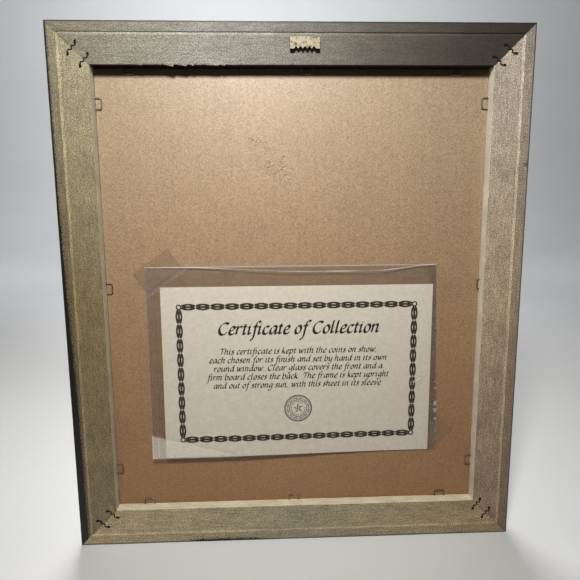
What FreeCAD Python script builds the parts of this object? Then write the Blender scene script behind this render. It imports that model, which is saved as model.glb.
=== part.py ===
"""Coin display frame: a mitred wooden frame that shows coins behind glass.

It stands on the outer side of its bottom rail. Z is up, the glazed display side faces +Y and
the open back, with its backing board, sleeve, certificate and hanger, faces -Y. The origin is
on the resting face, centred in the width and in the depth of the rails. Lengths are in mm.
"""
import FreeCAD, Part

import math
import os

import Sketcher

# Driving dimensions: sheet alias, value, meaning.
DIMS = [
    ("outerWide", 355.0, "width over the rails, a 14 inch frame"),
    ("outerTall", 406.0, "height over the rails, a 16 inch frame"),
    ("railDepth", 25.0, "rail depth, back face to display face"),
    ("railFace", 30.0, "width of a rail's back face"),
    ("lipWide", 8.0, "overhang of the display lip past the rabbet wall"),
    ("lipEdge", 2.5, "thickness of the lip at the sight edge"),
    ("rabbetDeep", 19.2, "rabbet depth from the back face to the lip"),
    ("edgeRound", 4.0, "radius of the outer display edge"),
    ("flatWide", 18.0, "width of the flat on the display face"),
    ("stepDeep", 1.2, "step between that flat and the scoop"),
    ("scoopRadius", 22.0, "radius of the scoop that falls to the sight edge"),
    ("grooveInset", 8.0, "outer edge to the middle of the back groove"),
    ("grooveWide", 1.5, "width of the back groove"),
    ("grooveDeep", 0.8, "depth of the back groove"),
    ("boardGap", 0.5, "gap between the rabbet wall and each sheet in the stack"),
    ("glassThick", 2.0, "glazing"),
    ("matThick", 1.4, "window mat"),
    ("coinThick", 2.4, "coin over its rim"),
    ("coinSlack", 0.2, "room behind a coin in its pocket"),
    ("cardThick", 0.5, "card that closes the coin pockets"),
    ("boardThick", 3.0, "corrugated backing board"),
    ("coinWide", 38.0, "coin diameter"),
    ("coinHold", 1.0, "how far the mat laps over a coin's edge"),
    ("pocketGap", 0.3, "gap round a coin in its pocket"),
    ("coinPitchX", 80.0, "coin columns, centre to centre"),
    ("coinPitchZ", 76.0, "coin rows, centre to centre"),
    ("rimWide", 1.6, "width of a coin's raised rim"),
    ("rimDeep", 0.3, "height of a coin's rim above its field"),
    ("paperWide", 216.0, "certificate, half letter size"),
    ("paperTall", 140.0, "certificate height"),
    ("paperThick", 0.25, "certificate stock"),
    ("paperX", 2.0, "certificate centre, to the right of the frame's centre"),
    ("paperFoot", 72.5, "height of the certificate's lower edge"),
    ("filmThick", 0.15, "film of the clear sleeve"),
    ("slideGap", 0.3, "clearance between the certificate and each film"),
    ("sealLeft", 5.5, "width of the sleeve's left heat seal"),
    ("sealRight", 1.5, "width of the sleeve's right heat seal"),
    ("foldTall", 0.4, "height of the sleeve's closed foot"),
    ("sideGap", 5.5, "certificate to the left heat seal"),
    ("mouthGap", 0.8, "certificate to the right heat seal at the mouth"),
    ("footFlare", 5.6, "how much wider the sleeve is at its foot"),
    ("mouthRise", 16.0, "sleeve's mouth above the certificate"),
    ("tapeThick", 0.15, "adhesive tape"),
    ("tapeWide", 18.5, "tape width"),
    ("tapeHighLong", 34.5, "length of the tape under the sleeve's upper corner"),
    ("tapeLowLong", 23.0, "length of the tape under the sleeve's lower corner"),
    ("tapeHighAngle", 35.5, "slope of the upper tape"),
    ("tapeLowAngle", 40.0, "slope of the lower tape"),
    ("tapeHighIn", 9.4, "upper tape centre, in from the sleeve's left edge"),
    ("tapeHighDown", 3.0, "upper tape centre, down from the sleeve's mouth"),
    ("tapeLowIn", 1.5, "lower tape centre, in from the sleeve's right edge at its foot"),
    ("tapeLowUp", 16.5, "lower tape centre, up from the sleeve's foot"),
    ("nailLong", 11.0, "corrugated nail, across the mitre"),
    ("nailDeep", 10.0, "corrugated nail, into the wood"),
    ("nailThick", 0.5, "corrugated nail, metal thickness"),
    ("nailWave", 0.7, "corrugated nail, half the height of its waves"),
    ("nailOuter", 18.6, "outer edges to the outer nail of a corner"),
    ("nailInner", 26.8, "outer edges to the inner nail of a corner"),
    ("stapleWide", 9.0, "staple crown, over its legs"),
    ("stapleWire", 1.0, "staple wire"),
    ("stapleReach", 5.2, "how far a staple stands out of the rabbet wall"),
    ("stapleDriven", 8.0, "how far its legs go into the wood"),
    ("stapleRound", 0.9, "outer radius of the crown's bends"),
    ("stapleGap", 0.1, "staple to backing board"),
    ("stapleDeeper", 3.0, "how much further the half hidden staple is driven"),
    ("stapleInset", 25.5, "corner of the rabbet opening to the staples next to it"),
    ("stapleFootInset", 32.0, "foot of the rabbet opening to the lowest side staples"),
    ("stapleSideMid", 9.0, "middle side staples, above mid height"),
    ("stapleFootMid", -2.0, "middle staple of the bottom rail"),
    ("stapleHeadMid", 9.5, "middle staple of the top rail"),
    ("hangerWide", 21.7, "sawtooth hanger, overall"),
    ("hangerTall", 8.2, "sawtooth hanger, height without its bumps"),
    ("hangerThick", 0.8, "sawtooth hanger, metal thickness"),
    ("hangerStand", 3.0, "gap between hanger plate and wood, for the nail's head"),
    ("hangerProng", 5.0, "hanger prong, into the wood"),
    ("hangerProngTall", 3.0, "hanger prong, height"),
    ("hangerX", 7.3, "hanger centre, to the right of the frame's centre"),
    ("hangerDrop", 15.6, "top edge of the frame to the hanger's centre"),
    ("toothPitch", 3.2, "hanger tooth to tooth"),
    ("toothDeep", 1.8, "hanger notch depth"),
    ("bumpTall", 0.5, "height of the hanger's top bumps"),
    ("dimpleRadius", 1.1, "hanger centre dimple, radius"),
    ("dimpleDeep", 0.35, "hanger centre dimple, depth"),
]
COIN_COLUMNS = 3
COIN_ROWS = 4
HANGER_NOTCHES = 5
NAIL_BENDS = 6

doc = FreeCAD.newDocument("CoinFrame")
sheet = doc.addObject("Spreadsheet::Sheet", "Dims")
nodes = []


class Size:
    """A length known both as a number and as the sheet expression that drives it."""

    def __init__(self, value, text):
        self.value = value
        self.text = text

    def __add__(self, other):
        other = as_size(other)
        return Size(self.value + other.value, f"({self.text} + {other.text})")

    def __radd__(self, other):
        return as_size(other) + self

    def __sub__(self, other):
        other = as_size(other)
        return Size(self.value - other.value, f"({self.text} - {other.text})")

    def __rsub__(self, other):
        return as_size(other) - self

    def __mul__(self, other):
        other = as_size(other)
        return Size(self.value * other.value, f"({self.text} * {other.text})")

    def __rmul__(self, other):
        return as_size(other) * self

    def __truediv__(self, other):
        other = as_size(other)
        return Size(self.value / other.value, f"({self.text} / {other.text})")

    def __neg__(self):
        return Size(-self.value, f"(0 - {self.text})")


def as_size(given):
    """A plain number as a Size; a Size as it is."""
    if isinstance(given, Size):
        return given
    return Size(float(given), f"({float(given)})")


def sine(degrees):
    """Sine of an angle from the sheet."""
    return Size(math.sin(math.radians(degrees.value)), f"sin({degrees.text} * 1deg)")


def cosine(degrees):
    """Cosine of an angle from the sheet."""
    return Size(math.cos(math.radians(degrees.value)), f"cos({degrees.text} * 1deg)")


def smaller(one, other):
    """The smaller of two lengths."""
    return Size(min(one.value, other.value), f"min({one.text}; {other.text})")


def larger(one, other):
    """The larger of two lengths."""
    return Size(max(one.value, other.value), f"max({one.text}; {other.text})")


def fill_sheet():
    """Write every driving dimension to its own named cell and return them as Sizes."""
    sizes = {}
    for row, (alias, value, meaning) in enumerate(DIMS, start=1):
        sheet.set(f"A{row}", meaning)
        sheet.set(f"B{row}", str(value))
        sheet.setAlias(f"B{row}", alias)
        sizes[alias] = Size(value, f"Dims.{alias}")
    doc.recompute()
    return sizes


D = fill_sheet()

# Levels through the depth, from the back face at -Y to the display face at +Y.
BACK = -D["railDepth"] / 2
FRONT = D["railDepth"] / 2
LIP = BACK + D["rabbetDeep"]
MAT_FRONT = LIP - D["glassThick"]
CARRIER_FRONT = MAT_FRONT - D["matThick"]
CARRIER_THICK = D["coinThick"] + D["coinSlack"]
CARD_FRONT = CARRIER_FRONT - CARRIER_THICK
BOARD_FRONT = CARD_FRONT - D["cardThick"]
BOARD_BACK = BOARD_FRONT - D["boardThick"]
FILM_BACK_FRONT = BOARD_BACK - D["tapeThick"]
CAVITY_FRONT = FILM_BACK_FRONT - D["filmThick"]
CAVITY_DEEP = D["paperThick"] + 2 * D["slideGap"]
PAPER_FRONT = CAVITY_FRONT - D["slideGap"]

# The rabbet opening and the sheets that fill it.
OPEN_WIDE = D["outerWide"] - 2 * D["railFace"]
OPEN_TALL = D["outerTall"] - 2 * D["railFace"]
SHEET_WIDE = OPEN_WIDE - 2 * D["boardGap"]
SHEET_TALL = OPEN_TALL - 2 * D["boardGap"]
MIDDLE = D["outerTall"] / 2

# The sleeve's outline, set round the certificate that slides in it.
PAPER_LEFT = D["paperX"] - D["paperWide"] / 2
PAPER_RIGHT = D["paperX"] + D["paperWide"] / 2
SLEEVE_LEFT = PAPER_LEFT - D["sideGap"] - D["sealLeft"]
SLEEVE_HEAD_RIGHT = PAPER_RIGHT + D["mouthGap"] + D["sealRight"]
SLEEVE_FOOT_RIGHT = SLEEVE_HEAD_RIGHT + D["footFlare"]
SLEEVE_FOOT = D["paperFoot"] - D["slideGap"] - D["foldTall"]
SLEEVE_HEAD = D["paperFoot"] + D["paperTall"] + D["mouthRise"]


def bind(thing, prop, length):
    """Drive one property of an object from the sheet."""
    thing.setExpression(prop, as_size(length).text)


def new_body(label):
    """An empty PartDesign body with its own label."""
    body = doc.addObject("PartDesign::Body", label)
    body.Label = label
    return body


def keep(thing):
    """Register a finished sub-part for export."""
    nodes.append(thing)
    return thing


def place(thing, x=0, y=0, z=0, turn=0):
    """Put a sub-part at x, y, z, turned anticlockwise as seen from the back (from -Y)."""
    axis = FreeCAD.Vector(0, -1, 0)
    spot = FreeCAD.Vector(*(as_size(value).value for value in (x, y, z)))
    thing.Placement = FreeCAD.Placement(spot, FreeCAD.Rotation(axis, as_size(turn).value))
    bind(thing, "Placement.Base.x", x)
    bind(thing, "Placement.Base.y", y)
    bind(thing, "Placement.Base.z", z)
    if isinstance(turn, Size):
        bind(thing, "Placement.Rotation.Angle", turn)


def sketch_on(body, role, name, lift=0):
    """A sketch on one of the body's own origin planes, lifted along that plane's normal."""
    plane = next(item for item in body.Origin.OriginFeatures if item.Role == role)
    sketch = body.newObject("Sketcher::SketchObject", name)
    sketch.AttachmentSupport = [(plane, "")]
    sketch.MapMode = "FlatFace"
    sketch.AttachmentOffset = FreeCAD.Placement(
        FreeCAD.Vector(0, 0, as_size(lift).value), FreeCAD.Rotation()
    )
    bind(sketch, "AttachmentOffset.Base.z", lift)
    return sketch


def fix_point(sketch, piece, end, x, y):
    """Tie one point of a sketch to sheet driven coordinates."""
    for kind, value in (("DistanceX", x), ("DistanceY", y)):
        index = sketch.addConstraint(
            Sketcher.Constraint(kind, -1, 1, piece, end, as_size(value).value)
        )
        bind(sketch, f"Constraints[{index}]", value)


def arc_between(start, end, radius):
    """The short arc from start to end. A positive radius turns left, a negative one right."""
    first, last = (start, end) if radius > 0 else (end, start)
    size = abs(radius)
    chord = last - first
    rise = math.sqrt(max(size**2 - (chord.Length / 2) ** 2, 0.0))
    left = FreeCAD.Vector(-chord.y, chord.x, 0).normalize()
    centre = first + chord * 0.5 + left * rise
    begin = math.atan2(first.y - centre.y, first.x - centre.x)
    sweep = 2 * math.asin(min(chord.Length / 2 / size, 1.0))
    circle = Part.Circle(centre, FreeCAD.Vector(0, 0, 1), size)
    return Part.ArcOfCircle(circle, begin, begin + sweep)


def add_outline(sketch, points, arcs=None):
    """Draw a closed outline through the points, all sheet driven.

    arcs maps a side's number to the signed radius of the arc that replaces that straight side.
    """
    arcs = arcs or {}
    corners = [FreeCAD.Vector(as_size(x).value, as_size(y).value, 0) for x, y in points]
    pieces = []
    for side, start in enumerate(corners):
        end = corners[(side + 1) % len(corners)]
        if side in arcs:
            radius = as_size(arcs[side])
            piece = sketch.addGeometry(arc_between(start, end, radius.value), False)
            ends = (1, 2) if radius.value > 0 else (2, 1)
        else:
            piece = sketch.addGeometry(Part.LineSegment(start, end), False)
            ends = (1, 2)
        pieces.append((piece, ends))
    for side, (piece, ends) in enumerate(pieces):
        after, after_ends = pieces[(side + 1) % len(pieces)]
        sketch.addConstraint(
            Sketcher.Constraint("Coincident", piece, ends[1], after, after_ends[0])
        )
    for (piece, ends), (x, y) in zip(pieces, points):
        fix_point(sketch, piece, ends[0], x, y)
    for side, radius in arcs.items():
        radius = as_size(radius)
        size = radius if radius.value > 0 else -radius
        index = sketch.addConstraint(Sketcher.Constraint("Radius", pieces[side][0], size.value))
        bind(sketch, f"Constraints[{index}]", size)


def add_box(sketch, left, low, right, high):
    """Draw a rectangle."""
    add_outline(sketch, [(left, low), (right, low), (right, high), (left, high)])


def add_circle(sketch, x, y, radius):
    """Draw a circle."""
    centre = FreeCAD.Vector(as_size(x).value, as_size(y).value, 0)
    circle = Part.Circle(centre, FreeCAD.Vector(0, 0, 1), as_size(radius).value)
    piece = sketch.addGeometry(circle, False)
    fix_point(sketch, piece, 3, x, y)
    index = sketch.addConstraint(Sketcher.Constraint("Radius", piece, as_size(radius).value))
    bind(sketch, f"Constraints[{index}]", radius)


def pad(body, sketch, name, length):
    """Raise a sketch along its normal: towards -Y for a sketch on the XZ plane."""
    feature = body.newObject("PartDesign::Pad", name)
    feature.Profile = sketch
    feature.Length = as_size(length).value
    bind(feature, "Length", length)
    sketch.Visibility = False
    return feature


def cut(body, sketch, name, depth):
    """Sink a sketch along its normal: towards -Y for a sketch on the XZ plane."""
    feature = body.newObject("PartDesign::Pocket", name)
    feature.Profile = sketch
    feature.Reversed = True
    feature.Length = as_size(depth).value
    bind(feature, "Length", depth)
    sketch.Visibility = False
    return feature


def repeat(label, seed, spots):
    """Copies of one seed body at several spots, held together as one group of solids."""
    copies = []
    for number, spot in enumerate(spots, start=1):
        copy = doc.addObject("App::Link", f"{label}_{number}")
        copy.LinkedObject = seed
        copy.LinkTransform = False
        place(copy, **spot)
        copies.append(copy)
    group = doc.addObject("Part::Compound", label)
    group.Label = label
    group.Links = copies
    return keep(group)


def make_rail(label, length, **spot):
    """One mitred rail. Along its own X; its Z runs in from the outer edge, Y through the depth."""
    body = new_body(label)
    inner = D["railFace"]
    sight = inner + D["lipWide"]
    scoop = D["edgeRound"] + D["flatWide"]
    half = D["grooveWide"] / 2
    profile = sketch_on(body, "YZ_Plane", label + "_profile")
    points = [
        (BACK, 0),
        (FRONT - D["edgeRound"], 0),
        (FRONT, D["edgeRound"]),
        (FRONT, scoop),
        (FRONT - D["stepDeep"], scoop),
        (LIP + D["lipEdge"], sight),
        (LIP, sight),
        (LIP, inner),
        (BACK, inner),
        (BACK, D["grooveInset"] + half),
        (BACK + D["grooveDeep"], D["grooveInset"]),
        (BACK, D["grooveInset"] - half),
    ]
    add_outline(profile, points, arcs={1: D["edgeRound"], 4: -D["scoopRadius"]})
    bar = pad(body, profile, label + "_bar", length)
    bar.SideType = "Symmetric"
    mitre = sketch_on(body, "XZ_Plane", label + "_mitre")
    over = D["lipWide"]
    for side in (1, -1):
        end = length / 2 * side
        outer = end + over * side
        add_outline(
            mitre,
            [(outer, -over), (end - (sight + over) * side, sight + over), (outer, sight + over)],
        )
    ends = body.newObject("PartDesign::Pocket", label + "_ends")
    ends.Profile = mitre
    ends.Type = "ThroughAll"
    ends.SideType = "Symmetric"
    mitre.Visibility = False
    place(body, **spot)
    return keep(body)


def make_rails():
    """The four rails: bottom, top, left and right as seen from the back."""
    wide = D["outerWide"]
    tall = D["outerTall"]
    make_rail("rail_bottom", wide)
    make_rail("rail_top", wide, z=tall, turn=180)
    make_rail("rail_left", tall, x=-wide / 2, z=MIDDLE, turn=-90)
    make_rail("rail_right", tall, x=wide / 2, z=MIDDLE, turn=90)


def make_sheet(label, front, thickness):
    """A plain sheet that fills the rabbet opening, less the board gap all round."""
    body = new_body(label)
    outline = sketch_on(body, "XZ_Plane", label + "_outline", lift=-front)
    add_box(
        outline,
        -SHEET_WIDE / 2,
        MIDDLE - SHEET_TALL / 2,
        SHEET_WIDE / 2,
        MIDDLE + SHEET_TALL / 2,
    )
    pad(body, outline, label + "_sheet", thickness)
    place(body)
    return keep(body)


def coin_spots():
    """Column, row and the centre of each coin, from the lower left as seen from the back."""
    spots = []
    for row in range(COIN_ROWS):
        for column in range(COIN_COLUMNS):
            x = (column - (COIN_COLUMNS - 1) / 2) * D["coinPitchX"]
            z = MIDDLE + (row - (COIN_ROWS - 1) / 2) * D["coinPitchZ"]
            spots.append((column + 1, row + 1, x, z))
    return spots


def drill(body, front, thickness, radius):
    """Cut one round hole per coin through a sheet."""
    holes = sketch_on(body, "XZ_Plane", body.Label + "_holes", lift=-front)
    for _, _, x, z in coin_spots():
        add_circle(holes, x, z, radius)
    cut(body, holes, body.Label + "_windows", thickness)


def make_stack():
    """Glazing, mat, coin carrier, closing card and backing board, from display side to back."""
    make_sheet("glazing", LIP, D["glassThick"])
    mat = make_sheet("window_mat", MAT_FRONT, D["matThick"])
    drill(mat, MAT_FRONT, D["matThick"], D["coinWide"] / 2 - D["coinHold"])
    carrier = make_sheet("coin_carrier", CARRIER_FRONT, CARRIER_THICK)
    drill(carrier, CARRIER_FRONT, CARRIER_THICK, D["coinWide"] / 2 + D["pocketGap"])
    make_sheet("closing_card", CARD_FRONT, D["cardThick"])
    make_sheet("backing_board", BOARD_FRONT, D["boardThick"])


def make_coin(label, x, z):
    """A blank coin with a raised rim on both faces, turned about its own Y axis."""
    body = new_body(label)
    radius = D["coinWide"] / 2
    field = radius - D["rimWide"]
    thick = D["coinThick"]
    section = sketch_on(body, "XY_Plane", label + "_section")
    points = [
        (0, D["rimDeep"] - thick),
        (field, D["rimDeep"] - thick),
        (field, -thick),
        (radius, -thick),
        (radius, 0),
        (field, 0),
        (field, -D["rimDeep"]),
        (0, -D["rimDeep"]),
    ]
    add_outline(section, points)
    turned = body.newObject("PartDesign::Revolution", label + "_disc")
    turned.Profile = section
    turned.ReferenceAxis = (section, ["V_Axis"])
    turned.Angle = 360
    section.Visibility = False
    place(body, x=x, y=CARRIER_FRONT, z=z)
    return keep(body)


def make_coins():
    """One coin in each pocket of the carrier."""
    for column, row, x, z in coin_spots():
        make_coin(f"coin_row{row}_column{column}", x, z)


def make_certificate():
    """The loose paper certificate in the sleeve."""
    body = new_body("certificate")
    outline = sketch_on(body, "XZ_Plane", "certificate_outline", lift=-PAPER_FRONT)
    foot = D["paperFoot"]
    add_box(outline, PAPER_LEFT, foot, PAPER_RIGHT, foot + D["paperTall"])
    pad(body, outline, "certificate_sheet", D["paperThick"])
    place(body)
    return keep(body)


def sleeve_outline(sketch):
    """The sleeve's four corners: a little wider at the foot than at the mouth."""
    points = [
        (SLEEVE_LEFT, SLEEVE_FOOT),
        (SLEEVE_FOOT_RIGHT, SLEEVE_FOOT),
        (SLEEVE_HEAD_RIGHT, SLEEVE_HEAD),
        (SLEEVE_LEFT, SLEEVE_HEAD),
    ]
    add_outline(sketch, points)


def make_sleeve():
    """Two clear films, sealed along both sides and the foot, open at the top."""
    back = new_body("sleeve_back_film")
    outline = sketch_on(back, "XZ_Plane", "back_film_outline", lift=-FILM_BACK_FRONT)
    sleeve_outline(outline)
    pad(back, outline, "back_film_sheet", D["filmThick"])
    place(back)
    keep(back)
    front = new_body("sleeve_front_film")
    outline = sketch_on(front, "XZ_Plane", "front_film_outline", lift=-CAVITY_FRONT)
    sleeve_outline(outline)
    pad(front, outline, "front_film_block", CAVITY_DEEP + D["filmThick"])
    pouch = sketch_on(front, "XZ_Plane", "front_film_pouch", lift=-CAVITY_FRONT)
    left = SLEEVE_LEFT + D["sealLeft"]
    low = SLEEVE_FOOT + D["foldTall"]
    high = SLEEVE_HEAD + D["mouthRise"]
    drift = D["footFlare"] / (SLEEVE_HEAD - SLEEVE_FOOT)
    low_right = SLEEVE_FOOT_RIGHT - D["sealRight"] - D["foldTall"] * drift
    high_right = SLEEVE_HEAD_RIGHT - D["sealRight"] - D["mouthRise"] * drift
    add_outline(pouch, [(left, low), (low_right, low), (high_right, high), (left, high)])
    cut(front, pouch, "front_film_hollow", CAVITY_DEEP)
    place(front)
    keep(front)


def tape_limit(length, angle):
    """How far from the frame's middle a tilted strip's centre may sit and stay off the staples."""
    reach = (length * cosine(angle) + D["tapeWide"] * sine(angle)) / 2
    return OPEN_WIDE / 2 - D["stapleReach"] - D["boardGap"] - reach


def make_tape(label, length, angle, x, z):
    """A strip of tape between the backing board and the sleeve's back film."""
    body = new_body(label)
    outline = sketch_on(body, "XZ_Plane", label + "_outline")
    half = length / 2
    side = D["tapeWide"] / 2
    add_box(outline, -half, -side, half, side)
    pad(body, outline, label + "_strip", D["tapeThick"])
    place(body, x=x, y=BOARD_BACK, z=z, turn=angle)
    return keep(body)


def make_tapes():
    """The two strips that hold the sleeve by opposite corners."""
    long = D["tapeHighLong"]
    angle = D["tapeHighAngle"]
    x = larger(SLEEVE_LEFT + D["tapeHighIn"], -tape_limit(long, angle))
    make_tape("tape_upper", long, angle, x, SLEEVE_HEAD - D["tapeHighDown"])
    long = D["tapeLowLong"]
    angle = D["tapeLowAngle"]
    x = smaller(SLEEVE_FOOT_RIGHT - D["tapeLowIn"], tape_limit(long, angle))
    make_tape("tape_lower", long, angle, x, SLEEVE_FOOT + D["tapeLowUp"])


def make_corner_nails():
    """Two corrugated nails across each mitre, flush with the back face."""
    seed = new_body("corner_nail")
    plan = sketch_on(seed, "XZ_Plane", "corner_nail_plan")
    pitch = D["nailLong"] / NAIL_BENDS
    half = D["nailThick"] / 2
    wave = []
    for bend in range(NAIL_BENDS + 1):
        side = 1 if bend % 2 else -1
        wave.append((bend * pitch - D["nailLong"] / 2, D["nailWave"] * side))
    low = [(x, z - half) for x, z in wave]
    high = [(x, z + half) for x, z in reversed(wave)]
    add_outline(plan, low + high)
    pad(seed, plan, "corner_nail_strip", D["nailDeep"])
    spots = []
    for inset in (D["nailOuter"], D["nailInner"]):
        right = D["outerWide"] / 2 - inset
        top = D["outerTall"] - inset
        level = BACK + D["nailDeep"]
        spots.append({"x": -right, "y": level, "z": top, "turn": 45})
        spots.append({"x": right, "y": level, "z": top, "turn": -45})
        spots.append({"x": -right, "y": level, "z": inset, "turn": -45})
        spots.append({"x": right, "y": level, "z": inset, "turn": 45})
    repeat("corner_nails", seed, spots)


def make_staple_seed():
    """A wire staple. Its crown lies along X above its legs, which point down; Z is 0 at the wall."""
    seed = new_body("staple")
    wire = D["stapleWire"]
    half = D["stapleWide"] / 2
    reach = D["stapleReach"]
    driven = D["stapleDriven"]
    bend = D["stapleRound"]
    plan = sketch_on(seed, "XZ_Plane", "staple_plan")
    points = [
        (-half, -driven),
        (wire - half, -driven),
        (wire - half, reach - wire),
        (half - wire, reach - wire),
        (half - wire, -driven),
        (half, -driven),
        (half, reach - bend),
        (half - bend, reach),
        (bend - half, reach),
        (-half, reach - bend),
    ]
    add_outline(plan, points, arcs={6: bend, 8: bend})
    pad(seed, plan, "staple_wire", wire)
    return seed


def make_staples():
    """Twelve staples, three in each rabbet wall, that hold the stack in the frame."""
    seed = make_staple_seed()
    level = BOARD_BACK - D["stapleGap"]
    wall = OPEN_WIDE / 2
    spots = []
    low = D["railFace"]
    high = D["outerTall"] - D["railFace"]
    heights = (high - D["stapleInset"], MIDDLE + D["stapleSideMid"], low + D["stapleFootInset"])
    for z, deeper in zip(heights, (0, D["stapleDeeper"], 0)):
        spots.append({"x": -wall, "y": level, "z": z, "turn": -90})
        spots.append({"x": wall + deeper, "y": level, "z": z, "turn": 90})
    ends = (D["stapleInset"] - wall, wall - D["stapleInset"])
    for x in ends + (D["stapleFootMid"],):
        spots.append({"x": x, "y": level, "z": low, "turn": 0})
    for x in ends + (D["stapleHeadMid"],):
        spots.append({"x": x, "y": level, "z": high, "turn": 180})
    repeat("retaining_staples", seed, spots)


def hanger_outline():
    """The hanger plate's outline: bumps along the top, V notches along the foot."""
    half = D["hangerWide"] / 2
    top = D["hangerTall"] / 2
    pitch = D["toothPitch"]
    first = -pitch * HANGER_NOTCHES / 2
    points = [(-half, -top)]
    for notch in range(HANGER_NOTCHES):
        start = first + notch * pitch
        points.append((start, -top))
        points.append((start + pitch / 2, D["toothDeep"] - top))
    points.append((-first, -top))
    points.append((half, -top))
    points.append((half, top))
    arcs = {}
    bulge = (pitch * pitch / 4 + D["bumpTall"] * D["bumpTall"]) / (2 * D["bumpTall"])
    for bump in range(HANGER_NOTCHES):
        points.append((-first - bump * pitch, top))
        arcs[len(points) - 1] = bulge
    points.append((first, top))
    points.append((-half, top))
    return points, arcs


def make_hanger():
    """The sawtooth hanger: toothed plate, two bent sides and a prong on each side."""
    body = new_body("sawtooth_hanger")
    thick = D["hangerThick"]
    half = D["hangerWide"] / 2
    top = D["hangerTall"] / 2
    stand = D["hangerStand"]
    plate = sketch_on(body, "XZ_Plane", "hanger_plate", lift=stand)
    points, arcs = hanger_outline()
    add_outline(plate, points, arcs)
    pad(body, plate, "hanger_face", thick)
    sides = sketch_on(body, "XZ_Plane", "hanger_sides")
    prongs = sketch_on(body, "XZ_Plane", "hanger_prongs", lift=-D["hangerProng"])
    prong = D["hangerProngTall"] / 2
    for left in (-half, half - thick):
        add_box(sides, left, -top, left + thick, top)
        add_box(prongs, left, -prong, left + thick, prong)
    pad(body, sides, "hanger_legs", stand)
    pad(body, prongs, "hanger_spikes", D["hangerProng"])
    dimple = sketch_on(body, "XZ_Plane", "hanger_dimple", lift=stand + thick - D["dimpleDeep"])
    add_circle(dimple, 0, 0, D["dimpleRadius"])
    cut(body, dimple, "hanger_mark", D["dimpleDeep"])
    place(body, x=D["hangerX"], y=BACK, z=D["outerTall"] - D["hangerDrop"])
    return keep(body)


def check_document():
    """Stop before anything is written if an object failed or a sub-part's shape isn't sound."""
    for item in doc.Objects:
        bad = [state for state in item.State if state in ("Invalid", "Error")]
        if bad:
            raise RuntimeError(f"{item.Label} did not recompute: {bad}")
    for node in nodes:
        if node.Shape.isNull() or not node.Shape.isValid() or not node.Shape.Solids:
            raise RuntimeError(f"{node.Label} has no sound shape")


def export():
    """Write one STEP file per sub-part."""
    os.makedirs("parts", exist_ok=True)
    for node in nodes:
        node.Shape.exportStep(os.path.join("parts", node.Label + ".step"))


make_rails()
make_stack()
make_coins()
make_sleeve()
make_certificate()
make_tapes()
make_corner_nails()
make_staples()
make_hanger()
doc.recompute()
check_document()
export()
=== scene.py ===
"""Looks of the coin display frame: raw wooden back, taped sleeve and certificate, coins behind glass."""

import math

import bmesh
import bpy
import numpy as np
from mathutils import Matrix, Vector


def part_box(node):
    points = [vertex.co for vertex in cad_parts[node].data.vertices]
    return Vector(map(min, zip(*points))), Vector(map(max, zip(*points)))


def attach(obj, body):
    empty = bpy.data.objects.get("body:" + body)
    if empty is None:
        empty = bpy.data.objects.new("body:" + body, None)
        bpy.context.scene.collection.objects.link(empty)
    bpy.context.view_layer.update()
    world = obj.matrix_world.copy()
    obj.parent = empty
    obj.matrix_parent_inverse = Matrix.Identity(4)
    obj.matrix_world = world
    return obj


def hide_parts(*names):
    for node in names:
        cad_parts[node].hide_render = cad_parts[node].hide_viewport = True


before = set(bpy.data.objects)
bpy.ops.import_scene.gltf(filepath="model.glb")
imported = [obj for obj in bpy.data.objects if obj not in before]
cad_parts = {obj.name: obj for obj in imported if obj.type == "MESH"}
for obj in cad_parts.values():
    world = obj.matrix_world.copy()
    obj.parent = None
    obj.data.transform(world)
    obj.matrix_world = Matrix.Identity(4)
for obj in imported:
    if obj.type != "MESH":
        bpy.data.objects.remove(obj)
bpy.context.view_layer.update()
MM = 0.001
SHARP_ANGLE = math.radians(35)


# ---------------------------------------------------------------- places from the frame, all in mm


def box_mm(node):
    """Lowest and highest corner of a CAD node, in mm."""
    low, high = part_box(node)
    return np.array(low) / MM, np.array(high) / MM


def centre_mm(node):
    """Middle of a CAD node's box, in mm."""
    low, high = box_mm(node)
    return (low + high) / 2


OUTER_LOW = box_mm("rail_bottom")[0]
OUTER_HIGH = box_mm("rail_top")[1]
WIDE = OUTER_HIGH[0] - OUTER_LOW[0]
TALL = OUTER_HIGH[2] - OUTER_LOW[2]
BACK = OUTER_LOW[1]
FRONT = OUTER_HIGH[1]
LIP = box_mm("glazing")[1][1]
BOARD_GAP = 0.5
WALL = WIDE / 2 - box_mm("glazing")[1][0] - BOARD_GAP
SIGHT = box_mm("rail_bottom")[1][2]
MIDDLE = TALL / 2
BOARD_BACK = box_mm("backing_board")[0][1]
PAPER_LOW, PAPER_HIGH = box_mm("certificate")
SLEEVE_LOW, SLEEVE_HIGH = box_mm("sleeve_front_film")

# Rail moulding, as cut: groove near the outer back edge, step and scoop on the display face.
GROOVE_INSET = 8.0
GROOVE_HALF = 0.75
GROOVE_DEEP = 0.8
EDGE_ROUND = 4.0
FLAT_END = 22.0
STEP_DEEP = 1.2
LIP_EDGE = 2.5
SCOOP_RADIUS = 22.0


# ---------------------------------------------------------------- numbers and meshes


def smooth(low, high, value):
    """Smooth step: 0 below low, 1 above high, an S curve of cubic form between."""
    part = np.clip((np.asarray(value, float) - low) / (high - low), 0.0, 1.0)
    return part * part * (3.0 - 2.0 * part)


def wobble(across, along, size, seed, waves=9):
    """Even band of noise, about -1 to 1: a sum of sine waves of that size in seeded directions."""
    pick = np.random.default_rng(seed)
    total = 0.0
    for angle, phase, pace in zip(
        pick.uniform(0, math.pi, waves),
        pick.uniform(0, 2 * math.pi, waves),
        pick.uniform(0.6, 1.7, waves),
    ):
        reach = math.cos(angle) * across + math.sin(angle) * along
        total = total + np.sin(reach * 2 * math.pi * pace / size + phase)
    return total / math.sqrt(waves)


def hill(value, width):
    """A smooth hill: 1 where the value is 0, a third at its width, gone at three times that."""
    return np.exp(-((value / width) ** 2))


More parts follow.
